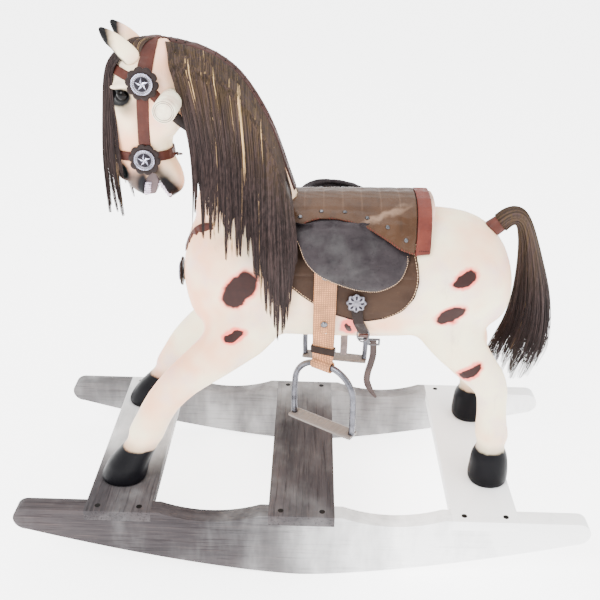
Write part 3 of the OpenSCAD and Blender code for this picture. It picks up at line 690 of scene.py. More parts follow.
def disc(profile, spokes=72, wave=None):
    """A turned disc facing +Z from (radius, height) rows; wave(theta) scales the radius."""
    th = np.arange(spokes) * 2 * math.pi / spokes
    k = np.ones(spokes) if wave is None else wave(th)
    v = [(0, 0, profile[0][1])]
    for r, h in profile:
        v += [(r * k[i] * math.cos(th[i]), r * k[i] * math.sin(th[i]), h) for i in range(spokes)]
    v.append((0, 0, profile[-1][1]))
    f = [(0, 1 + i, 1 + (i + 1) % spokes) for i in range(spokes)]
    for row in range(len(profile) - 1):
        a = 1 + row * spokes
        f += [(a + i, a + spokes + i, a + spokes + (i + 1) % spokes, a + (i + 1) % spokes)
              for i in range(spokes)]
    a = 1 + (len(profile) - 1) * spokes
    f += [(len(v) - 1, a + (i + 1) % spokes, a + i) for i in range(spokes)]
    return np.array(v, float), f


def bead(r, flat=0.8, rings=5, spokes=8):
    t = np.linspace(0, math.pi / 2 - 0.15, rings)
    return disc([(r * math.cos(a), r * flat * math.sin(a)) for a in t[::-1]] + [(r * 0.9, -r * 0.3)],
                spokes)


def star(points, outer, inner, peak, base):
    """A faceted star facing +Z, one point up."""
    v = [(0, 0, peak)]
    for i in range(points * 2):
        a = math.pi / 2 + i * math.pi / points
        r = outer if i % 2 == 0 else inner
        v.append((r * math.cos(a), r * math.sin(a), base))
    n = points * 2
    v += [(x, y, base - 0.0006) for x, y, _ in v[1:n + 1]] + [(0, 0, base - 0.0006)]
    f = [(0, 1 + i, 1 + (i + 1) % n) for i in range(n)]
    f += [(1 + i, 1 + n + i, 1 + n + (i + 1) % n, 1 + (i + 1) % n) for i in range(n)]
    f += [(2 * n + 1, 1 + n + (i + 1) % n, 1 + n + i) for i in range(n)]
    return np.array(v, float), f


def ring_of(piece, n, radius, height, turn=0.0, stretch=(1, 1, 1)):
    parts = []
    for i in range(n):
        a = 2 * math.pi * i / n
        m = np.array(Matrix.Rotation(a + turn, 3, "Z"))
        v = (piece[0] * np.array(stretch)) @ m.T + (radius * math.cos(a), radius * math.sin(a), height)
        parts.append((v, piece[1]))
    return join(parts)


def placed(v, centre, normal, spin=0.0):
    """Takes a piece that faces +Z to a place and a direction, keeping its top up."""
    n = Vector(normal).normalized()
    u = (Vector((0, 0, 1)) - n * n.z).normalized()
    m = np.array(Matrix((u.cross(n), u, n)).transposed() @ Matrix.Rotation(spin, 3, "Z"))
    return v @ m.T + np.array(centre)


def join(parts):
    vs, fs, n = [], [], 0
    for v, f in parts:
        vs.append(np.asarray(v, float))
        fs += [tuple(i + n for i in face) for face in f]
        n += len(v)
    return np.concatenate(vs), fs


def lathe(profile, centre, axis_sign, sides=48):
    """profile: (distance along Y from centre, radius). Returns closed verts and faces."""
    v = []
    for d, r in profile:
        v += [(centre[0] + r * math.cos(a), centre[1] + axis_sign * d, centre[2] + r * math.sin(a))
              for a in np.arange(sides) * 2 * math.pi / sides]
    f = ring_faces(len(profile), sides)
    return v, f if axis_sign > 0 else [q[::-1] for q in f]


def carry(node, mat):
    """A CAD node that stays, with a better material."""
    me = NODES[node].data
    me.materials.clear()
    me.materials.append(mat)
    for p in me.polygons:
        p.material_index = 0
        p.use_smooth = True


# ---------------------------------------------------------------- the horse
def make_body():
    def edit(a, P):
        Z = P[2]
        hoof = np.clip((0.204 - Z) / 0.004, 0, 1) * 0.0012
        coronet = np.exp(-((Z - 0.200) / 0.004) ** 2) * 0.0008
        a = a - hoof + coronet
        for s in (-1, 1):
            groove = ball(P, (-0.060, s * 0.118, 0.455), (0.020, 0.010, 0.075), -18)
            a = smax(a, -(groove - 0.001), 0.02)
        return a
    sculpt("horse_body", ["torso", "neck", "left_foreleg", "right_foreleg", "left_hindleg",
                          "right_hindleg"],
           0.0025, paint_body(), smooth=3, close=0.022, edit=edit)


MOUTH = [(-0.2745, 0.615), (-0.2730, 0.630), (-0.2685, 0.664), (-0.2585, 0.681), (-0.2490, 0.677),
         (-0.2380, 0.655),
         (-0.2280, 0.626), (-0.2270, 0.615)]


def make_head():
    def edit(a, P):
        for s in (-1, 1):
            lid = ball(P, (-0.2895, s * 0.0440, 0.8075), (0.0160, 0.0122, 0.0115), 12)
            a = smin(a, lid, 0.004)
            brow = ball(P, (-0.290, s * 0.0485, 0.8225), (0.026, 0.0085, 0.0045), 12)
            a = smin(a, brow, 0.006)
            a = smax(a, -ball(P, (-0.312, s * 0.046, 0.8100), (0.012, 0.010, 0.008), 0), 0.005)
            a = smax(a, -ball(P, (-0.290, s * 0.0575, 0.8080), (0.0128, 0.0100, 0.0082), 12), 0.0015)
            rim = ball(P, (-0.301, s * 0.025, 0.681), (0.014, 0.011, 0.018), 25)
            a = smin(a, rim, 0.007)
            a = smax(a, -ball(P, (-0.304, s * 0.0345, 0.681), (0.0072, 0.0100, 0.0125), 25), 0.002)
            a = smax(a, -ball(P, (-0.268, s * 0.052, 0.757), (0.012, 0.006, 0.036), -6), 0.010)
            a = smin(a, ball(P, (-0.232, s * 0.040, 0.784), (0.030, 0.012, 0.036), 0), 0.012)
        mouth = outline(P, MOUTH)
        lip = np.exp(-((mouth - 0.0025) / 0.003) ** 2) * 0.0014 * (P[2] < 0.69)
        return smax(a - lip, -mouth, 0.002)
    return sculpt("horse_head", ["head"], 0.0014, paint_head(), smooth=3, edit=edit, band=9)


def make_mouth():
    gum = Look("gum", rough=0.4, Specular_IOR_Level=0.3)
    gum.bump(gum.noise(200, 3), 0.3, 0.0006)
    gum.color(gum.mix(gum.noise(60, 3), tone(166, 146, 146), tone(132, 110, 112)))
    tooth = Look("tooth", rough=0.3, Specular_IOR_Level=0.4)
    tooth.color(tooth.mix(tooth.rise(tooth.noise(300, 3), 0.4, 0.7), tone(226, 222, 226),
                          tone(190, 184, 194)))
    tongue = [(-0.2590, 0.683), (-0.2500, 0.679), (-0.2462, 0.665), (-0.2530, 0.642), (-0.2640, 0.640),
              (-0.2625, 0.664)]
    palate = [(-0.2700, 0.672), (-0.2620, 0.682), (-0.2600, 0.664), (-0.2640, 0.640), (-0.2725, 0.638)]
    jaw = [(-0.2480, 0.680), (-0.2400, 0.676), (-0.2270, 0.634), (-0.2330, 0.633), (-0.2420, 0.655)]

    def gums(P):
        d = np.maximum(outline(P, tongue), np.abs(P[1]) - 0.0245)
        d = smin(d, np.maximum(outline(P, palate), np.abs(P[1]) - 0.0255), 0.001)
        return smin(d, np.maximum(outline(P, jaw), np.abs(P[1]) - 0.0200), 0.001)
    solid("mouth_gums", (-0.280, -0.031, 0.628), (-0.222, 0.031, 0.690), 0.0011, gums, gum.m,
          smooth=3)
    parts = []
    for s in (-1, 1):
        for x0, z0, x1, z1, n, y, size in ((-0.2640, 0.6610, -0.2668, 0.6425, 6, 0.0262,
                                            (0.0056, 0.0034, 0.00180)),
                                           (-0.2440, 0.6590, -0.2318, 0.6400, 5, 0.0222,
                                            (0.0040, 0.0034, 0.00260))):
            for k in range(n):
                t = k / (n - 1)
                c = np.array((x0 + (x1 - x0) * t, s * (y - 0.003 * t ** 2), z0 + (z1 - z0) * t))
                rows = []
                for lat in np.linspace(-1.4, 1.4, 8):
                    for lon in np.arange(12) * math.pi / 6:
                        q = np.array([math.cos(lat) * math.cos(lon), math.cos(lat) * math.sin(lon),
                                      math.sin(lat)])
                        q = np.sign(q) * np.abs(q) ** 0.55
                        rows.append(c + q * np.array(size))
                parts.append((np.array(rows), ring_faces(8, 12)))
    v, f = join(parts)
    finish_piece(mesh_object("teeth", v, f, tooth.m), ROOT)


def make_eyes():
    k = Look("eye_glass", (10, 8, 8), 0.05, Specular_IOR_Level=0.12)
    d = k.vec("LENGTH", k.vec("SUBTRACT", k.vec("ABSOLUTE", k.co), (0.2925, 0.0545, 0.8085)))
    c = k.mix(k.rise(d, 0.0034, 0.0044), tone(3, 3, 4), tone(22, 14, 10))
    k.color(k.mix(k.rise(d, 0.0062, 0.0078), c, tone(6, 5, 5)))
    carry("eyes", k.m)


def make_ears():
    mat = paint_ears()
    for side, s in (("left", -1), ("right", 1)):
        def edit(a, P):
            # hollow on the side that faces forward, leaving a rim
            cx, cz = -0.2915, 0.8735
            h = ball(P, (cx - 0.0125, s * 0.0375, cz - 0.0120), (0.027, 0.0062, 0.0105), 134)
            return smax(a, -h, 0.002)
        sculpt(side + "_ear_shell", [side + "_ear"], 0.0011, mat, smooth=3, edit=edit, band=5)


def make_pegs():
    k = Look("peg_paint", rough=0.4, Specular_IOR_Level=0.12)
    c = k.mix(k.rise(k.noise(40, 4), 0.35, 0.7), tone(236, 230, 224), tone(224, 216, 208))
    rings = k.wave(190, "Y", distort=0.6)
    c = k.mix(k.rise(rings, 0.8, 1.0, 0, 0.12), c, tone(180, 168, 164))
    # painted shade in the turned grooves: darker bands where the grooves sit along the peg
    for y in (0.064, 0.1162, 0.1205):
        near = k.rise(k.math("ABSOLUTE", k.math("SUBTRACT", k.math("ABSOLUTE", k.axis(1)), y)), 0.0005,
                      0.0011, 1, 0)
        c = k.mix(k.math("MULTIPLY", near, 0.8), c, tone(120, 112, 112))
    k.color(c)
    k.bump(rings, 0.08, 0.0003)
    for side, s in (("left", -1), ("right", 1)):
        lo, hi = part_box(side + "_hand_peg")
        c = ((lo.x + hi.x) / 2, 0.0, (lo.z + hi.z) / 2)
        r = (hi.x - lo.x) / 2
        end = max(abs(lo.y), abs(hi.y))
        prof = [(0.030, r * 0.6), (0.0455, r * 0.62), (0.046, r * 0.99), (0.062, r), (0.0634, r - 0.0004),
                (0.064, r - 0.0011),
                (0.0646, r - 0.0004), (0.066, r)]
        prof += [(0.066 + (end - 0.0765) * t, r) for t in (0.25, 0.5, 0.75)]
        for g in (0.0088, 0.0045):
            prof += [(end - g - 0.0013, r), (end - g - 0.0006, r - 0.0004), (end - g, r - 0.0011),
                     (end - g + 0.0006, r - 0.0004),
                     (end - g + 0.0011, r)]
        prof += [(end - 0.0026 + 0.0026 * math.sin(t), r - 0.0026 + 0.0026 * math.cos(t))
                 for t in np.linspace(0, 1.5, 6)]
        prof += [(end - 0.0002, r * 0.55), (end - 0.0006, r * 0.3), (end - 0.0008, 0.0012)]
        v, f = lathe(prof, c, s)
        finish_piece(mesh_object(side + "_turned_peg", v, f, k.m), ROOT,
                     [side + "_hand_peg"])
    # grey rings on each peg's end face: painted shade standing in for the shadow in its turned grooves
    ring = Look("peg_groove_shade", (150, 140, 138), 0.5, Specular_IOR_Level=0.1)
    ring.color(ring.mix(ring.noise(200, 3), tone(150, 142, 138), tone(124, 116, 114)))
    for s, side in ((-1, "left"), (1, "right")):
        lo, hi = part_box(side + "_hand_peg")
        y = lo.y if s < 0 else hi.y
        a = np.linspace(0, 2 * math.pi, 49)
        for i, r in enumerate((0.0126, 0.0152)):
            loop = np.stack([-0.215 + r * np.cos(a), y + 0 * a, 0.803 + r * np.sin(a)], 1)
            finish_piece(tube("%s_peg_ring_%d" % (side, i), loop, 0.00035, ring.m, 6), ROOT)


make_body()
make_head()
make_mouth()
make_eyes()
make_ears()
make_pegs()

# ---------------------------------------------------------------- hair
M_DARK = hair("hair_dark", (112, 92, 66), (58, 46, 46), (90, 72, 70))
M_MID = hair("hair_mid", (150, 126, 92), (102, 84, 82), (134, 112, 108))
M_LIGHT = hair("hair_blond", (214, 202, 168), (190, 172, 142), (222, 210, 184), 0.5)
HAIR = [M_DARK, M_MID, M_LIGHT]
CREST = [(-226, 882), (-192, 876), (-152, 862), (-114, 833), (-80, 783), (-56, 734), (-32, 664)]
TIPS = [(-184, 616), (-160, 606), (-130, 576), (-98, 545), (-66, 470), (-38, 418), (-17, 560)]


def ramp01(x):
    x = np.clip(x, 0, 1)
    return x * x * (3 - 2 * x)


def mane_at(u, v, out):
    c, t = catmull(CREST, u), catmull(TIPS, u)
    x = c[..., 0] + (t[..., 0] - c[..., 0]) * (1 - (1 - np.clip(v, 0, 1)) ** 2.4)
    z = c[..., 1] + (t[..., 1] - c[..., 1]) * v
    y = -(10 + 40 * ramp01((c[..., 1] - z) / 34) + 66 * ramp01((748 - z) / 200))
    y = y - out * (0.25 + 0.75 * np.sin(math.pi * np.clip(v * 1.1 + 0.08, 0, 1)))
    return np.stack([x, y, z + out * (1 - v) * 0.12], -1) / 1000


def strand_mesh(name, paths, radii, kinds, nodes):
    v, f, per = tubes(paths, radii, 3)
    idx = np.concatenate([np.repeat(kinds, per), np.repeat(kinds, 2)])
    o = mesh_object(name, v, f, HAIR, index=idx)
    return finish_piece(o, ROOT, nodes)


# the radius of a strand at its root, in the mane and in the other locks
MANE_STRAND = 0.00052
LOCK_STRAND = 0.00056


def strand_radius(s, thick):
    """A strand's radius from root to tip, some strands thicker than others."""
    return thick * (1 - 0.70 * s ** 2) * (0.7 + 0.6 * RNG.random())


def strand_shade(blond, mid):
    """A strand's place in HAIR, drawn at random."""
    q = RNG.random()
    return 2 if q < blond else (1 if q < mid else 0)


def lock_tip(s, tight):
    """How far a strand still stands from its lock's middle, from its root at 0 to its tip at 1."""
    return 1 - tight * s ** 3


def make_mane():
    nu, nv = 150, 36
    U = np.linspace(0, 6, nu)
    clump = np.sin(U * 19.0) * 0.6 + np.sin(U * 47.0 + 1.3) * 0.4
    top = 0.80 + 0.04 * np.sin(U * 23) + 0.03 * np.sin(U * 61 + 2)
    V = np.linspace(0, 1, nv)[None] * top[:, None]
    depth = 10.0 + 1.6 * clump[:, None] * ramp01(V * 2)
    front = mane_at(np.broadcast_to(U[:, None], V.shape), V, depth)
    back = mane_at(np.broadcast_to(U[:, None], V.shape), V, np.full_like(V, 2.0))
    loop = np.concatenate([front, back[:, ::-1]], 1)
    m = loop.shape[1]
    v = loop.reshape(-1, 3)
    finish_piece(mesh_object("mane_base", v, ring_faces(nu, m), M_DARK), ROOT, ["mane"])
    paths, radii, kinds = [], [], []
    s = np.linspace(0, 1, 20)
    locks = 46
    for c in range(locks):
        uc = 6 * (c + 0.5) / locks + RNG.normal(0, 0.03)
        end = 0.84 + 0.20 * RNG.random() - 0.10 * (RNG.random() < 0.2)
        drift = RNG.normal(0, 0.10)
        shade = RNG.random()
        for _ in range(78):
            a = RNG.normal(0, 0.13)
            u = uc + a * lock_tip(s, 0.80) + drift * s ** 2 + RNG.normal(0, 0.02) * np.sin(s * 5)
            vv = s * (end - 0.17 * RNG.random() ** 2 * (0.4 + abs(a) * 5))
            out = 10.5 + 3.0 * RNG.random() + 0.8 * np.sin(s * 5 + c) * s
            paths.append(mane_at(np.clip(u, 0, 6), vv, out))
            radii.append(strand_radius(s, MANE_STRAND))
            kinds.append(strand_shade(0.008, 0.34 + 0.22 * (shade > 0.6)))
    for uc, wide, v0, v1, n in ((0.95, 0.020, 0.03, 0.30, 9), (1.95, 0.014, 0.03, 0.24, 6),
                                (2.95, 0.030, 0.01, 0.56, 22),
                                (3.95, 0.014, 0.02, 0.26, 6), (1.35, 0.050, 0.90, 1.00, 6),
                                (2.30, 0.040, 0.86, 1.02, 8),
                                (3.70, 0.030, 0.76, 1.00, 10)):
        for _ in range(n):
            u = uc + RNG.normal(0, wide) * (1 - 0.4 * np.sin(s * 3))
            a = v0 + 0.05 * RNG.random()
            vv = a + (v1 - 0.10 * RNG.random() - a) * s
            paths.append(mane_at(np.clip(u, 0, 6), vv, np.full_like(s, 13.6)))
            radii.append(0.00046 * np.sin(math.pi * np.clip(0.04 + 0.93 * s, 0, 0.97)) ** 0.6
                         * (0.7 + 0.5 * RNG.random()))
            kinds.append(2)
    strand_mesh("mane_strands", np.array(paths), np.array(radii), np.array(kinds), [])


FORE_MID = [(-243, 886, 0), (-282, 884, 0), (-314, 858, 0), (-327, 830, 0), (-334, 778, 0), (-340, 711, 0),
            (-341, 665, 0),
            (-339, 600, 0)]
FORE_EDGE = [(-252, 880, 12), (-280, 868, 26), (-303, 848, 37), (-308, 812, 39), (-306, 767, 40),
             (-304, 712, 41),
             (-299, 668, 41), (-286, 606, 41)]


def make_forelock():
    paths, radii, kinds = [], [], []
    s = np.linspace(0, 1, 24)
    last = len(FORE_MID) - 1
    locks = 15
    for c in range(locks):
        yc = -1 + 2 * (c + 0.5) / locks
        end = (0.84, 1.0, 0.9, 0.96, 0.86)[c % 5] + 0.02 * RNG.random()
        drift = RNG.normal(0, 0.05)
        for _ in range(66):
            a = RNG.normal(0, 0.11)
            t = np.clip(yc + a * lock_tip(s, 0.90) + drift * s ** 2, -1.0, 1.0)
            u = s * last * (end - 0.13 * RNG.random() ** 2)
            m, e = catmull(FORE_MID, u), catmull(FORE_EDGE, u)
            w = np.abs(t) ** 2.0
            x = m[:, 0] + (e[:, 0] - m[:, 0]) * w
            z = m[:, 1] + (e[:, 1] - m[:, 1]) * w
            y = np.sign(t) * e[:, 2] * np.abs(t) ** 0.9
            inward = 5.0 * RNG.random() * np.clip(s * 4, 0, 1)
            x, y = x + inward * (1 - w) + 1.0 * w, y - np.sign(t) * inward * w * 0.5
            paths.append(np.stack([x, y, z], 1) / 1000)
            radii.append(strand_radius(s, LOCK_STRAND))
            kinds.append(strand_shade(0.010, 0.42))
    for side in (-1, 1):
        ends = np.array([(-246, 888, 4), (-252, 887, 14), (-259, 882, 24), (-262, 872, 33),
                         (-263, 860, 38)], float)
        for _ in range(240):
            t = RNG.random()
            u = s * 4 * (0.80 + 0.20 * RNG.random())
            p = catmull(ends, u)
            x = p[:, 0] - 26 * t * (1 - 0.75 * s ** 1.5) + 9 * (1 - s)
            paths.append(np.stack([x, side * p[:, 2], p[:, 1] - 4 * t * (1 - s) + 1.0 * RNG.random()], 1)
                         / 1000)
            radii.append(strand_radius(s, LOCK_STRAND))
            kinds.append(strand_shade(0.05, 0.6))
    strand_mesh("forelock_strands", np.array(paths), np.array(radii), np.array(kinds), ["forelock"])


TAIL = [(323, 597, 15.5, 16, 131), (334, 607, 15.5, 15.5, 116), (346, 611, 15, 14.5, 92),
        (357, 605, 15, 14, 70),
        (366, 588, 15, 14, 48), (374, 562, 17, 15, 32), (383, 523, 22, 18, 18), (392, 470, 31, 22, 10),
        (394, 418, 40, 24, 3),
        (389, 372, 50, 24, -2), (381, 338, 52, 21, -5), (374, 298, 48, 16, -8)]


def make_tail():
    rows = np.array(TAIL, float)
    last = len(rows) - 1

    def at(u, along, across):
        p = catmull(rows, u)
        t = np.radians(p[..., 4])
        dx, dz = np.cos(t) * along * p[..., 2], np.sin(t) * along * p[..., 2]
        return np.stack([p[..., 0] + dx, across * p[..., 3], p[..., 1] + dz], -1) / 1000

    nu, sides = 40, 28
    th = np.arange(sides) * 2 * math.pi / sides
    U = np.linspace(1.2, last - 2.4, nu)
    rough = 0.74 + 0.05 * np.sin(th * 9)
    v = at(U[:, None] + 0 * th, np.cos(th) * rough, np.sin(th) * rough).reshape(-1, 3)
    finish_piece(mesh_object("tail_base", v, ring_faces(nu, sides), M_DARK), ROOT, ["tail_hair"])
    paths, radii, kinds = [], [], []
    s = np.linspace(0, 1, 26)
    for c in range(34):
        ang, rad = 2 * math.pi * c * 0.618, 0.40 + 0.55 * math.sqrt((c + 0.5) / 34)
        end = last - 1.75 + 1.75 * RNG.random()
        swirl = RNG.normal(0, 0.10)
        for _ in range(52):
            t = lock_tip(s, 0.80)
            a = math.cos(ang) * rad + RNG.normal(0, 0.24) * t + swirl * np.sin(s * 4)
            b = math.sin(ang) * rad + RNG.normal(0, 0.24) * t
            g = np.clip(np.sqrt(a * a + b * b), 1e-6, None)
            lim = np.minimum(1, 1.04 / g)
            paths.append(at(s * (end - 1.0 * RNG.random() ** 2), a * lim, b * lim))
            radii.append(strand_radius(s, LOCK_STRAND))
            kinds.append(strand_shade(0.004, 0.40))
    strand_mesh("tail_strands", np.array(paths), np.array(radii), np.array(kinds), [])


make_mane()
make_forelock()
make_tail()

# ---------------------------------------------------------------- leather
RED = leather("red_leather", (136, 78, 64), (104, 54, 46), 0.4).m
STRIP = leather("strip_leather", (118, 76, 68), (88, 54, 48), 0.45).m
DOCK = leather("dock_leather", (158, 100, 86), (120, 72, 62), 0.42).m
RED_SOFT = leather("binding_leather", (168, 98, 80), (140, 74, 66), 0.36).m
BLACK_L = leather("black_leather", (66, 46, 42), (40, 28, 26), 0.34).m
ROSETTE = leather("rosette_leather", (80, 62, 60), (54, 42, 42), 0.42).m
KEEPER = leather("keeper_leather", (76, 50, 38), (54, 34, 26), 0.42).m
GREY_L = leather("grey_leather", (140, 122, 118), (112, 96, 94), 0.45).m
PALE_L = leather("pale_leather", (196, 188, 186), (166, 156, 156), 0.5).m
THREAD = Look("thread", (226, 214, 198), 0.7)
THREAD.bump(THREAD.noise(2400, 2), 0.4, 0.0003)
THREAD.color(THREAD.mix(THREAD.noise(500, 2), tone(232, 222, 208), tone(196, 180, 160)))
THREAD = THREAD.m
STEEL = metal("steel", (170, 170, 174), 0.28)
SILVER = metal("bright_silver", (222, 222, 228), 0.22, 300)
AGED = metal("aged_silver", (190, 188, 194), 0.32, 300)
RECESS = metal("silver_recess", (88, 84, 94), 0.5, 300)
DARKSTEEL = metal("dark_steel", (70, 66, 64), 0.5)


def ribbon(name, path, half, thick, mat, body, nodes=(), taper=0.0, flat="Y"):
    """A flat strap along a path, facing y (or z), rounded at its edges."""
    path = curve(path, 40)
    t = np.gradient(path, axis=0)
    t /= np.linalg.norm(t, axis=1, keepdims=True)
    face = np.array((0, 1.0, 0)) if flat == "Y" else np.array((0, 0, 1.0))
    side = np.cross(t, face)
    side /= np.linalg.norm(side, axis=1, keepdims=True)
    up = np.cross(side, t)
    k = np.linspace(0, 1, len(path))
    w = half * (1 - taper * ramp01((k - 0.72) / 0.28)) * np.clip(np.minimum(k, 1 - k) * 30 + 0.55, 0, 1)
    ring = [(-1, -0.5), (-0.9, -1), (0.9, -1), (1, -0.5), (1, 0.5), (0.9, 1), (-0.9, 1), (-1, 0.5)]
    v = np.array([[path[i] + side[i] * a * w[i] + up[i] * b * thick / 2 for a, b in ring]
                  for i in range(len(path))]).reshape(-1, 3)
    return finish_piece(mesh_object(name, v, ring_faces(len(path), len(ring)), mat), body, nodes)


def saddle_leather():
    k = leather("saddle_leather", (134, 98, 68), (112, 76, 50), 0.24, 0.12, 0.8, 0.12)
    c = k.b.inputs["Base Color"].links[0].from_socket
    fold = k.noise(20, 3, 0.6, vec=k.place((2.6, 1, 0.5)))
    c = k.mix(k.rise(fold, 0.52, 0.75, 0, 0.4), c, tone(84, 60, 44))
    # painted highlight: a lighter line along each vertical seam on the cover's top, standing for the gloss on the
    # seams
    seam = k.math("ABSOLUTE", k.math("SUBTRACT", k.math("FRACT",
                                                        k.math("DIVIDE", k.math("ADD", k.axis(0), 0.0545),
                                                               0.031)), 0.5))
    top = k.rise(k.axis(2), 0.628, 0.640)
    c = k.mix(k.math("MULTIPLY", k.rise(seam, 0.02, 0.06, 0.45, 0), top), c, tone(158, 128, 102))
    # painted highlight: a pale band of sheen along the cover's bulge
    painted_highlight_band = k.blob((0.118, 0, 0.628), (0.062, 0.3, 0.0055), math.radians(14), k.shifted(0.012, 60), 0.2, 1.0)
    c = k.mix(k.math("MULTIPLY", painted_highlight_band, 0.6), c, tone(196, 178, 160))
    k.color(c)
    k.bump(fold, 0.18, 0.0020)
    return k.m


def padded_leather():
    k = leather("padded_leather", (94, 84, 88), (62, 52, 58), 0.34, 0.25, 1.0, 0.08)
    c = k.b.inputs["Base Color"].links[0].from_socket
    wrinkle = k.noise(34, 6, 0.7, vec=k.place((1, 1, 2.1), (0, 0.5, 0)), distort=1.2)
    c = k.mix(k.rise(wrinkle, 0.5, 0.7, 0, 0.6), c, tone(50, 44, 50))
    # painted sheen: pale grey patches standing for the satin highlights on the padded leather
    c = k.mix(k.rise(k.noise(13, 4), 0.48, 0.72, 0, 0.55), c, tone(134, 132, 132))
    k.color(c)
    k.bump(wrinkle, 0.40, 0.0026)
    k.bump(k.noise(150, 5, 0.7), 0.25, 0.0010)
    return k.m


def paint_block():
    """The pad under the saddle: pale at its two ends, and leather where the skirts and the flaps meet it."""
    k = leather("block_leather", (226, 216, 208), (206, 192, 182), 0.5, 0.3)
    c = k.b.inputs["Base Color"].links[0].from_socket
    mid = k.math("MULTIPLY", k.rise(k.axis(0), -0.0600, -0.0585), k.rise(k.axis(0), 0.1780, 0.1795, 1, 0))
    k.color(k.mix(mid, c, tone(88, 64, 50)))
    return k.m


# the cheek straps' width over that of their CAD strips
CHEEK_WIDER = 1.22


def make_straps():
    for node in ("crown_strap", "browband", "noseband", "left_cheek_strap", "right_cheek_strap",
                 "throat_strap"):
        o = sculpt(node + "_leather", [node], 0.0009, RED, smooth=2, band=4,
                   grow=0.0001)
        if "cheek" in node:
            co = points_of(o)
            mid = np.polyval(np.polyfit(co[:, 2], co[:, 0], 1), co[:, 2])
            co[:, 0] = mid + (co[:, 0] - mid) * CHEEK_WIDER
            move_to(o, co)

    def band(a, P):
        near = to_line(P, catmull(CREST, np.linspace(0.25, 6, 40)) / 1000) - 0.016
        return smax(smax(a - 0.0026, np.abs(P[1]) - 0.0150, 0.001), near, 0.001)
    sculpt("crest_band", ["neck"], 0.0014, STRIP, smooth=2, band=7, edit=band,
           keep=True)
    sculpt("breast_collar_leather", ["breast_collar"], 0.0013, RED, smooth=2, band=4)
    sculpt("crest_strip", ["mane_strip"], 0.0012, STRIP, smooth=2, band=4)
    sculpt("dock_wrap", ["tail_wrap"], 0.0010, DOCK, smooth=2, band=4)
    sculpt("girth", ["girth_strap"], 0.0010, RED, smooth=1, band=4)
    # tiny nails along the crest strip
    pts = catmull([(-222, 885), (-192, 879), (-152, 865), (-113, 836), (-78, 786), (-54, 735), (-30, 666)],
                  np.linspace(0.1, 5.9, 16))
    parts = []
    for p in pts:
        for s in (-1, 1):
            v, f = lathe([(0, 0.0013), (0.0006, 0.0012), (0.0011, 0.0007), (0.0012, 0.0002)], (0, 0, 0), 1,
                         8)
            v = placed(np.array(v)[:, [0, 2, 1]], (p[0] / 1000 - 0.0003, s * 0.0085, p[1] / 1000 + 0.0008),
                       (0.5, s * 0.45, 0.8))
            parts.append((v, f))
    v, f = join(parts)
    finish_piece(mesh_object("crest_nails", v, f, DARKSTEEL), ROOT)
    for side, s in (("left", -1), ("right", 1)):
        ribbon(side + "_throat_fall", [(-0.2200, s * 0.0480, 0.7850), (-0.2138, s * 0.0510, 0.7798),
                                       (-0.2050, s * 0.0520, 0.7725),
                                       (-0.1960, s * 0.0515, 0.7655), (-0.1860, s * 0.0480, 0.7580)],
               0.0078, 0.0028, BLACK_L, ROOT)
    ribbon("chin_tab", [(-0.2230, 0.0, 0.7030), (-0.2190, 0.0, 0.7050), (-0.2165, 0.0, 0.7030),
                        (-0.2190, 0.0, 0.7010)],
           0.0030, 0.0016, RED, ROOT, flat="Z")


def cast(name, pieces, seats, mats, nodes=(), slot="silver", spin=0.0, **look):
    """The same pieces set in each seat, as one mesh; a seat is a place and the way that it faces."""
    v, f = join([(placed(p[0], c, n, spin), p[1]) for c, n in seats for p in pieces])
    finish_piece(mesh_object(name, v, f, mats, **look), ROOT, nodes)


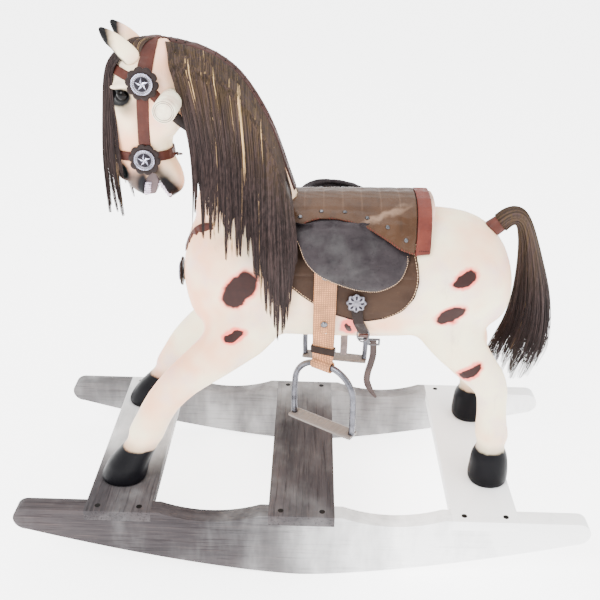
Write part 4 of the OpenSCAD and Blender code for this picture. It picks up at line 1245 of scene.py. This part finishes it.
def make_medallions():
    dish = disc([(0.0006, 0.0022), (0.0106, 0.0020), (0.0112, 0.0024), (0.0118, 0.0020), (0.0140, 0.0017),
                 (0.0147, 0.0024),
                 (0.0158, 0.0026), (0.0164, 0.0016), (0.0162, 0.0)])
    rope = ring_of(bead(0.0011), 44, 0.0154, 0.0026, 0.6, (1.5, 0.7, 0.7))
    beads = ring_of(bead(0.0008), 26, 0.0129, 0.0018)
    points = star(5, 0.0104, 0.0044, 0.0048, 0.0026)
    # every other top face of each star takes the dark metal: painted shade, as if one side of each point were turned
    # from the light
    shaded_facets = [i % 2 if i < 10 else 1 for i in range(len(points[1]))]
    leather_disc = disc([(0.002, 0.0026), (0.0180, 0.0026), (0.0200, 0.0030), (0.0222, 0.0028),
                         (0.0240, 0.0016), (0.0240, 0.0)],
                        144, lambda th: 0.90 + 0.17 * np.abs(np.sin(5 * th)) ** 0.55)
    # each concho's place, its face's direction, its leather's node and its own node
    lo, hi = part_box("breast_rosette")
    zc = (lo.z + hi.z) / 2
    groups = [("bridle", [((x, s * y, z), (0, s, 0)) for x, y,
                          z in ((-0.257, 0.0585, 0.828), (-0.264, 0.042, 0.705)) for s in (-1, 1)],
               "bridle_rosettes", "bridle_conchos"),
              ("breast", [((hi.x, 0, zc), (-1, 0, 0))], "breast_rosette", "breast_concho")]
    recess = disc([(0.0006, 0.00240), (0.0112, 0.00240), (0.0116, 0.0018)], 48)
    for name, places, node_r, node_c in groups:
        cast(name + "_rosette_leather", [leather_disc], places, ROSETTE, [node_r], "black_leather", 0.2)
        seats = [(tuple(np.array(c) + 0.0026 * np.array(n)), n) for c, n in places]
        cast(name + "_concho_dishes", [dish], seats, AGED, [node_c])
        cast(name + "_concho_relief", [rope, beads], seats, SILVER)
        # the stars' faces alternate bright and dark metal: painted shade on every other face
        cast(name + "_concho_stars", [points], seats, [SILVER, RECESS], smooth=False, index=shaded_facets
             * len(seats))
        cast(name + "_concho_recess", [recess], seats, RECESS)
    petals = disc([(0.0010, 0.0052), (0.0040, 0.0046), (0.0060, 0.0030), (0.0105, 0.0034),
                   (0.0145, 0.0026), (0.0170, 0.0012),
                   (0.0168, 0.0)], 120, lambda th: 0.93 + 0.08 * np.cos(8 * th))
    slots = ring_of(disc([(0.0008, 0.0006), (0.0019, 0.0004), (0.0021, -0.0010)], 12), 8, 0.0100, 0.0034,
                    0, (1.7, 1.0, 1))
    lo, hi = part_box("flap_conchos")
    seats = [((x, s * 0.1165, (lo.z + hi.z) / 2), (0, s, 0)) for s, x in ((-1, 0.080), (1, 0.108))]
    cast("flap_concho_discs", [petals], seats, AGED, ["flap_conchos"])
    cast("flap_concho_slots", [slots], seats, RECESS)

COVER_EDGE = [(-57, 589.5), (-18, 612.6), (8, 621.8), (38, 623.6), (66, 621), (92, 615), (120, 602),
              (150, 584), (172, 576)]
FLAP_EDGE = [(-49, 590), (-45, 533), (-27, 517), (1, 495), (40, 470), (74, 458), (102, 456), (129, 463),
             (157, 481), (174, 507),
             (180, 535), (177, 560), (171, 584)]


def cover_low(x):
    """The height of the saddle cover's lower edge at x."""
    edge = np.array(COVER_EDGE) / 1000
    return np.interp(x, edge[:, 0], edge[:, 1])


def inset(edge, by, n):
    p = curve(np.array(edge, float), n) / 1000
    t = np.gradient(p, axis=0)
    t /= np.linalg.norm(t, axis=1, keepdims=True)
    return p + np.stack([-t[:, 1], t[:, 0]], 1) * by


def puff(o, cap):
    """Lets a pad swell under a little pressure, as stuffed leather does, and keeps it near its form."""
    rest = points_of(o)
    cloth = o.modifiers.new("cloth", "CLOTH")
    c = cloth.settings
    c.quality = 4
    c.use_pressure = True
    c.uniform_pressure_force = 4
    c.effector_weights.gravity = 0
    c.tension_stiffness = c.compression_stiffness = 12
    c.bending_stiffness = 0.4
    scene = bpy.context.scene
    for f in range(1, 15):
        scene.frame_set(f)
    d = points_of(o.evaluated_get(bpy.context.evaluated_depsgraph_get())) - rest
    o.modifiers.remove(cloth)
    scene.frame_set(1)
    d *= np.minimum(1, cap / np.maximum(np.linalg.norm(d, axis=1, keepdims=True), 1e-9))
    move_to(o, rest + d)


def dent(o, fn):
    """Moves each vertex along its normal by fn(positions)."""
    co = points_of(o)
    nor = np.empty_like(co).ravel()
    o.data.vertices.foreach_get("normal", nor)
    move_to(o, co + nor.reshape(-1, 3) * fn(co)[:, None])


def hug(objs, line, lift):
    """The nearest points of some pieces to a line, lifted off them."""
    trees = [tree_of(o) for o in objs]
    out = []
    for q in line:
        best = min((tr.find_nearest(Vector(q)) for tr in trees), key=lambda h: h[3])
        out.append(list(best[0] + (Vector(q) - best[0]).normalized() * lift))
    return np.array(out)


def even(a, times=6):
    for _ in range(times):
        a[1:-1] = 0.5 * a[1:-1] + 0.25 * (a[2:] + a[:-2])
    return a


def twisted(name, line, radius, pitch, mats):
    """A two-strand cord along a line."""
    line = resample(line, pitch / 6)
    _, a, b = frames(line[None])
    ph = np.arange(len(line)) * 2 * math.pi / 6
    for k, mat in enumerate(mats):
        turn = ph + k * math.pi
        hel = line + radius * 0.75 * (np.cos(turn)[:, None] * a[0] + np.sin(turn)[:, None] * b[0])
        finish_piece(tube(f"{name}_{k}", hel, radius, mat, 6), ROOT)


SKIRT_LOW = [(-30, 610), (-17.4, 597.4), (-6.9, 574), (0.1, 563.1), (11.4, 551.3), (22.7, 543.2),
             (40.1, 534.3), (57.5, 526.2),
             (74.8, 521), (92, 518.7), (109.1, 519.2), (125.9, 523.5), (142.3, 533.5), (152.0, 545.1),
             (157.4, 560.2), (158.5, 570),
             (157.0, 577)]
SKIRT_HIGH = [(-36, 614), (-10, 624), (15, 631), (40, 632), (66, 629), (92, 623), (120, 610), (148, 592),
              (156, 582)]


def closed_sheet(name, x, y, z, thick, s, mat):
    """A closed sheet from a grid of points on one side of the horse, with its back nearer the middle."""
    v = [np.stack([x, s * at, z], -1).reshape(-1, 3) for at in (y, y - thick)]
    f = slab_faces(*x.shape)
    if s > 0:
        f = [q[::-1] for q in f]
    return finish_piece(mesh_object(name, np.concatenate(v), f, mat), ROOT)


def outermost(objs, x, z, s, default=0.115):
    """How far out from the middle the outermost of some pieces stands, over a grid of places."""
    trees = [tree_of(o) for o in objs]
    y = np.full(x.shape, default)
    for i in np.ndindex(x.shape):
        hits = [t.ray_cast(Vector((x[i], s * 0.2, z[i])), Vector((0, -s, 0)))[0] for t in trees]
        hits = [abs(h.y) for h in hits if h is not None]
        if hits:
            y[i] = max(hits)
    return y


def smoothed(y, rounds):
    for _ in range(rounds):
        q = np.pad(y, 1, mode="edge")
        y = 0.5 * y + 0.125 * (q[2:, 1:-1] + q[:-2, 1:-1] + q[1:-1, 2:] + q[1:-1, :-2])
    return y


def flap_yoke(side, s, body, flap, mat):
    """The flap's upper part, lying over the horse's side between the flap and the saddle cover."""
    z = np.linspace(0.536, 0.606, 30)[None, :] + np.zeros((150, 1))
    left = np.interp(z[0], [0.533, 0.606], [-0.0450, -0.0500])
    right = np.interp(z[0], [0.535, 0.560, 0.584, 0.606], [0.1800, 0.1770, 0.1710, 0.1640])
    x = left + (right - left) * np.linspace(0, 1, 150)[:, None]
    edge = cover_low(x)
    lift = 0.0020 * ramp01((z - 0.536) / 0.006) - 0.0060 * ramp01((z - edge - 0.002) / 0.006)
    y = smoothed(outermost([body, flap], x, z, s), 3) - 0.0004 + lift
    return closed_sheet(side + "_flap_yoke", x, y, z, 0.0024, s, mat)


def skirt_face(side, s, sk, pad):
    """The skirt's padded face, swelling over the top of the webbing; returns the line of its lower edge."""
    nu, nw = 150, 46
    low, high = inset(SKIRT_LOW, 0.0, nu), inset(SKIRT_HIGH, 0.0, nu)
    w = np.linspace(0, 1, nw)[None, :, None] ** 1.2
    P = low[:, None] * (1 - w) + high[:, None] * w
    x, z = P[..., 0], P[..., 1]
    pin = np.hypot(x - (0.029 if s < 0 else 0.057), z - 0.552) / 0.038
    y = smoothed(np.maximum(outermost([sk], x, z, s), 0.1205 - 0.006 * pin ** 2), 14)
    y = np.maximum(y, 0.1200 - 0.006 * pin ** 2) + 0.0012
    fold = np.exp(-((x - 0.030 - 0.14 * (z - 0.58)) / 0.0045) ** 2) * ramp01((z - 0.560) / 0.03)
    crease = np.exp(-((z - 0.566 + 0.22 * (x - 0.09)) / 0.0040) ** 2) * np.exp(-((x - 0.100) / 0.026) ** 2)
    crease2 = np.exp(-((z - 0.556 - 0.5 * (x - 0.085)) / 0.0035) ** 2) * np.exp(-((x - 0.090) / 0.018) ** 2)
    swell = np.exp(-((x - 0.005) / 0.022) ** 2 - ((z - 0.575) / 0.022) ** 2)
    small = np.sin(x * 190 + 6 * np.sin(z * 70) + 2) * np.sin(z * 150 + 5 * np.sin(x * 60))
    y = y + 0.0004 * small - 0.0026 * fold - 0.0024 * crease - 0.0016 * crease2 + 0.0020 * swell
    edge = cover_low(x)
    y = y - 0.0120 * ramp01((z - edge + 0.003 + 0.005 * ramp01((x - 0.140) / 0.012)) / 0.008)
    y[:, 0] -= 0.0012
    o = closed_sheet(side + "_skirt_face", x, y, z, 0.0016, s, pad)
    return np.stack([x[:, 0], s * (y[:, 0] + 0.0002), z[:, 0]], -1)


def make_studs(cover):
    """A low dome on the cover at each of the CAD studs."""
    co = points_of(NODES["saddle_studs"]).astype(float)
    left = set(range(len(co)))
    hood = bead(0.0037, 0.60, 6, 16)
    tree = tree_of(cover)
    parts = []
    while left:
        first = co[next(iter(left))]
        near = [i for i in left if np.linalg.norm(co[i] - first) < 0.012]
        left -= set(near)
        mid = (co[near].min(0) + co[near].max(0)) / 2
        spot, nor = tree.find_nearest(Vector(mid))[:2]
        nor = nor if nor.y * mid[1] > 0 else -nor
        parts.append((placed(hood[0], spot + nor * 0.0004, nor), hood[1]))
    v, f = join(parts)
    finish_piece(mesh_object("saddle_stud_heads", v, f, STEEL), ROOT, ["saddle_studs"])


def make_saddle():
    sad = saddle_leather()
    pad = padded_leather()
    dull = leather("flap_leather", (112, 84, 66), (92, 66, 52), 0.42, 0.3, 1.0, 0.06).m
    o = sculpt("saddle_block_pad", ["saddle_block"], 0.0020, paint_block(), smooth=3, band=4, grow=-0.0006)
    cover = sculpt("saddle_cover_leather", ["saddle_cover"], 0.0013, sad, smooth=4, band=5, grow=0.0005)

    def seams(p):
        t = (p[:, 0] + 0.0545) / 0.031 % 1 - 0.5
        groove = -0.0004 * np.exp(-(t / 0.045) ** 2)
        swell = 0.0002 * np.cos(t * 2 * math.pi + math.pi)
        lower = 0.0003 * np.sin(p[:, 0] * 260 + 3 * np.sin(p[:, 2] * 120))
        high = ramp01((p[:, 2] - 0.628) / 0.015)
        return (groove + swell) * high + lower * (1 - high)
    dent(cover, seams)
    bind = sculpt("saddle_binding_leather", ["saddle_binding"], 0.0012, RED_SOFT, smooth=2, band=4,
                  grow=0.0006)
    make_studs(cover)
    for side, s in (("left", -1), ("right", 1)):
        flap = sculpt(side + "_flap_leather", [side + "_flap"], 0.0012, dull, smooth=1, band=4)
        yoke = flap_yoke(side, s, bpy.data.objects["horse_body"], flap, dull)
        sk = sculpt(side + "_skirt_pad", [side + "_skirt"], 0.0022, pad, smooth=2, band=4, grow=0.0004)
        puff(sk, 0.0045)
        # the pad's top, tucked in under the cover
        co = points_of(sk)
        co[:, 1] -= s * 0.0060 * ramp01((co[:, 2] + 0.012 - cover_low(co[:, 0])) / 0.010)
        move_to(sk, co)
        edge = inset(COVER_EDGE, 0.0004, 200)
        line = drape([cover], edge + (0, 0.002), s, 0.0)
        line[:, 2] -= 0.0016
        twisted(side + "_cover_cord", even(hug([cover], line, 0.0003)), 0.00105, 0.0046, (sad, RED_SOFT))
        line = skirt_face(side, s, sk, pad)
        twisted(side + "_skirt_piping", even(line, 4), 0.00062, 0.0036, (THREAD, GREY_L))
        line = drape([flap, yoke], inset(FLAP_EDGE, 0.0034, 260), s, 0.0002)
        dashes(side + "_flap_stitches", line, 0.0034, 0.0014, 0.00062, THREAD, ROOT)
        line = even(hug([flap], [(x, s * 0.116, z) for x, z in inset(FLAP_EDGE, 0.0002, 240)], 0.0))
        finish_piece(tube(side + "_flap_edge", resample(line, 0.003), 0.0011, BLACK_L, 6), ROOT)
        line = drape([bind], [(x, 0.5815) for x in np.linspace(0.1765, 0.1935, 20)], s, 0.0002)
        if len(line) > 6:
            dashes(side + "_binding_stitches", line, 0.0016, 0.0018, 0.0007, BLACK_L, ROOT)
    for node, mat in (("girth_loops", BLACK_L), ("left_web_keeper", KEEPER), ("right_web_keeper", KEEPER)):
        body = {"girth_loops": ROOT, "left_web_keeper": "left_stirrup_leather",
                "right_web_keeper": "right_stirrup_leather"}[node]
        sculpt(node + "_leather", [node], 0.0009, mat, body, smooth=2, band=4)
    for node in ("girth_buckle", "strap_pins", "chin_ring", "web_rivets_left", "web_rivets_right"):
        carry(node, STEEL)
    for s, side in ((-1, "left"), (1, "right")):
        a = np.linspace(0, 2 * math.pi, 41)
        hoop = np.stack([0.0955 + 0.0100 * np.cos(a), s * (0.0985 + 0.0006 * np.sin(a)), 0.4285 + 0.0140
                         * np.sin(a)], 1)
        finish_piece(tube(side + "_hoop", hoop, 0.0013, STEEL, 8), ROOT, ["girth_rings"] if s < 0
                     else [])
    ribbon("left_girth_end_strap", [(0.1165, -0.0600, 0.3990), (0.1180, -0.0612, 0.3700),
                                    (0.1150, -0.0620, 0.3510),
                                    (0.1110, -0.0620, 0.3330), (0.1102, -0.0620, 0.3140),
                                    (0.1180, -0.0620, 0.2950),
                                    (0.1285, -0.0620, 0.2800)], 0.0058, 0.0030, GREY_L, "left_girth_tip",
           ["left_girth_end"], 0.55)
    sculpt("right_girth_end_leather", ["right_girth_end"], 0.0009, PALE_L, "right_girth_tip", smooth=2,
           band=4)


def webbing(name, yaw):
    k = Look(name, rough=0.85, Specular_IOR_Level=0.15)
    p = k.place((1, 1, 1), (0, 0, math.radians(yaw)))
    warp = k.wave(92, "X", vec=p)
    weft = k.wave(92, "Z", vec=p)
    weave = k.math("MULTIPLY", k.rise(warp, 0.05, 0.6), k.rise(weft, 0.05, 0.6))
    c = k.mix(k.rise(k.noise(50, 4), 0.3, 0.7), tone(226, 202, 170), tone(212, 186, 154))
    c = k.mix(k.rise(weave, 0.0, 0.7, 0.75, 0.0), c, tone(180, 152, 124))
    k.color(c)
    k.bump(weave, 0.8, 0.0010)
    return k.m


def make_stirrups():
    rec = {j["name"]: j for j in frame["record"]["behaviour"]["joints"]}
    tread_mat = Look("tread_paint", rough=0.5, Specular_IOR_Level=0.3)
    tread_mat.color(tread_mat.mix(tread_mat.noise(80, 4), tone(186, 180, 176), tone(168, 160, 156)))
    tread_mat.bump(tread_mat.noise(300, 3), 0.2, 0.0004)
    tread_mat = tread_mat.m
    iron_mat = metal("iron_metal", (168, 168, 174), 0.30, 200, (1, 1, 4))
    for side, s in (("left", -1), ("right", 1)):
        j = rec[side + "_stirrup_swing"]
        weave = webbing(side + "_webbing_weave", -0.6 * (33 if s < 0 else 8))
        sculpt(side + "_webbing_strip", [side + "_webbing"], 0.0008, weave, side + "_stirrup_leather",
               smooth=1, band=4)
        lo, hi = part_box("web_rivets_" + side)
        seat = ((lo.x + hi.x) / 2, (hi.y if s < 0 else lo.y) + s * 0.0003, (lo.z + hi.z) / 2 - 0.0095)
        v, f = disc([(0.0006, 0.0008), (0.0068, 0.0007), (0.0074, 0.0003), (0.0074, -0.0006)], 40)
        finish_piece(mesh_object(side + "_webbing_patch", placed(v, seat, (0, s, 0)), f, weave), side
                     + "_stirrup_leather")
        ax = np.array(j["axis"])
        centre = np.array(j["pos_m"]) + (ax * 0.0040 if s < 0 else 0)
        ay = np.array((-ax[1], ax[0], 0.0))
        up = np.array((0, 0, 1.0))
        lo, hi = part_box(side + "_stirrup_iron")
        drop = centre[2] - lo.z
        half = 0.127 / 2 - 0.0047
        bottom = drop - 0.0045
        pts = []
        for t in np.linspace(0, 1, 8):
            pts.append((-half - 0.0012 * math.sin(t * math.pi), -bottom + t * (bottom - 0.050)))
        for t in np.linspace(0, math.pi / 2, 14)[1:]:
            pts.append((-half + 0.050 * (1 - math.cos(t)), -0.050 + 0.050 * math.sin(t)))
        pts += [(-x, z) for x, z in pts[::-1]]
        path = np.array([centre + ax * x + up * z for x, z in pts])
        path = resample(path, 0.004)
        n = len(path)
        k = np.linspace(-1, 1, n)
        rad = (0.0054 if s < 0 else 0.0048) + 0.0008 * (np.abs(k) > 0.975)
        o = tube(side + "_iron_bow", path, rad, iron_mat, 14)
        # the tread: a rounded plate with cross ribs
        L, W = 0.0635, 0.0140
        nx, ny = 60, 12
        xs, ys = np.linspace(-1, 1, nx), np.linspace(-1, 1, ny)
        topv, botv = [], []
        for x in xs:
            for y in ys:
                w = W * (1 - 0.10 * abs(x) ** 6)
                rib = 0.0007 * max(0, math.cos(x * math.pi * 13)) * (abs(y) < 0.72) * (abs(x) < 0.88)
                lip = 0.0009 * (abs(y) > 0.8) - 0.0012 * (abs(y) > 0.98)
                topv.append(centre + ax * x * L + ay * y * w + up * (-bottom + 0.0018 + rib + lip))
                botv.append(centre + ax * x * L * 0.995 + ay * y * w * 0.98 + up
                            * (-bottom - 0.0028 + 0.0008 * (abs(y) > 0.95)))
        v = np.array(topv + botv)
        tread = mesh_object(side + "_iron_tread", v, slab_faces(nx, ny), tread_mat, smooth=False)
        finish_piece(tread, side + "_stirrup")
        finish_piece(o, side + "_stirrup", [side + "_stirrup_iron"])


make_straps()
make_medallions()
make_saddle()
make_stirrups()


# ---------------------------------------------------------------- the stand
def bevelled(node, mat):
    """A CAD board or rocker with its edges eased, as sanded wood has them."""
    src = NODES[node]
    o = src.copy()
    o.data = src.data.copy()
    o.name = node + "_wood"
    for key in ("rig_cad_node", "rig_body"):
        if key in o:
            del o[key]
    o.parent = None
    o.hide_render = o.hide_viewport = False
    bpy.context.scene.collection.objects.link(o)
    bpy.context.view_layer.objects.active = o
    o.data.materials.clear()
    o.data.materials.append(mat)
    weld = o.modifiers.new("weld", "WELD")
    weld.merge_threshold = 0.00005
    dec = o.modifiers.new("flat", "DECIMATE")
    dec.decimate_type = "DISSOLVE"
    dec.angle_limit = math.radians(0.6)
    bev = o.modifiers.new("bevel", "BEVEL")
    bev.width = 0.0025
    bev.segments = 3
    bev.limit_method = "ANGLE"
    bev.angle_limit = math.radians(35)
    o.modifiers.new("tri", "TRIANGULATE")
    dg = bpy.context.evaluated_depsgraph_get()
    me = bpy.data.meshes.new_from_object(o.evaluated_get(dg))
    o.modifiers.clear()
    o.data = me
    me.polygons.foreach_set("use_smooth", np.ones(len(me.polygons), bool))
    me.set_sharp_from_angle(angle=math.radians(38))
    finish_piece(o, ROOT, [node])


def make_stand():
    # the last numbers of each board set its painted glare: a base level, then where along x or y it rises
    bevelled("rocker_left", stained_wood("near_rocker_wood", "X", 0.02, (-0.28, 0.34, 0, 1.00)))
    bevelled("rocker_right", stained_wood("far_rocker_wood", "X", 0.36, (0.1, 0.45, 0, 0.50)))
    bevelled("front_board", stained_wood("front_board_wood", "Y", 0.16, None, (-0.14, 0.04, 0, 0.60)))
    bevelled("center_board", stained_wood("center_board_wood", "Y", 0.04, None, (0.0, 0.2, 0, 0.30)))
    bevelled("rear_board", stained_wood("rear_board_wood", "Y", 1.1))
    for node in ("board_screws", "hoof_bolts"):
        carry(node, DARKSTEEL)


make_stand()


# ---------------------------------------------------------------- floor and light
def make_studio():
    v = [(-9, -9, 0), (9, -9, 0), (9, 9, 0), (-9, 9, 0)]
    k = Look("studio_floor", (250, 250, 250), 0.9, Specular_IOR_Level=0.1)
    k.color(k.mix(k.noise(2, 2), tone(251, 251, 251), tone(249, 249, 249)))
    k.b.inputs["Emission Color"].default_value = (1, 1, 1, 1)
    k.b.inputs["Emission Strength"].default_value = 3.4
    mesh_object("floor", v, [(0, 1, 2, 3)], k.m, smooth=False)
    world = bpy.data.worlds.new("studio")
    bpy.context.scene.world = world
    world.use_nodes = True
    bg = world.node_tree.nodes["Background"]
    bg.inputs[0].default_value = (1, 1, 1, 1)
    bg.inputs[1].default_value = 2.1
    for name, pos, aim, size, power in (("key", (-1.6, -2.2, 2.9), (0, 0, 0.4), 1.6, 150),
                                        ("fill", (2.6, -1.8, 1.7), (0, 0, 0.4), 2.0, 46),
                                        ("top", (0.2, 0.6, 3.2), (0, 0, 0.3), 2.4, 60)):
        data = bpy.data.lights.new(name, "AREA")
        data.energy = power
        data.size = size
        o = bpy.data.objects.new(name, data)
        bpy.context.scene.collection.objects.link(o)
        o.matrix_world = Matrix.Translation(pos) @ (Vector(pos) - Vector(aim)).to_track_quat("Z",
                                                                                             "Y").to_matrix().to_4x4()


make_studio()
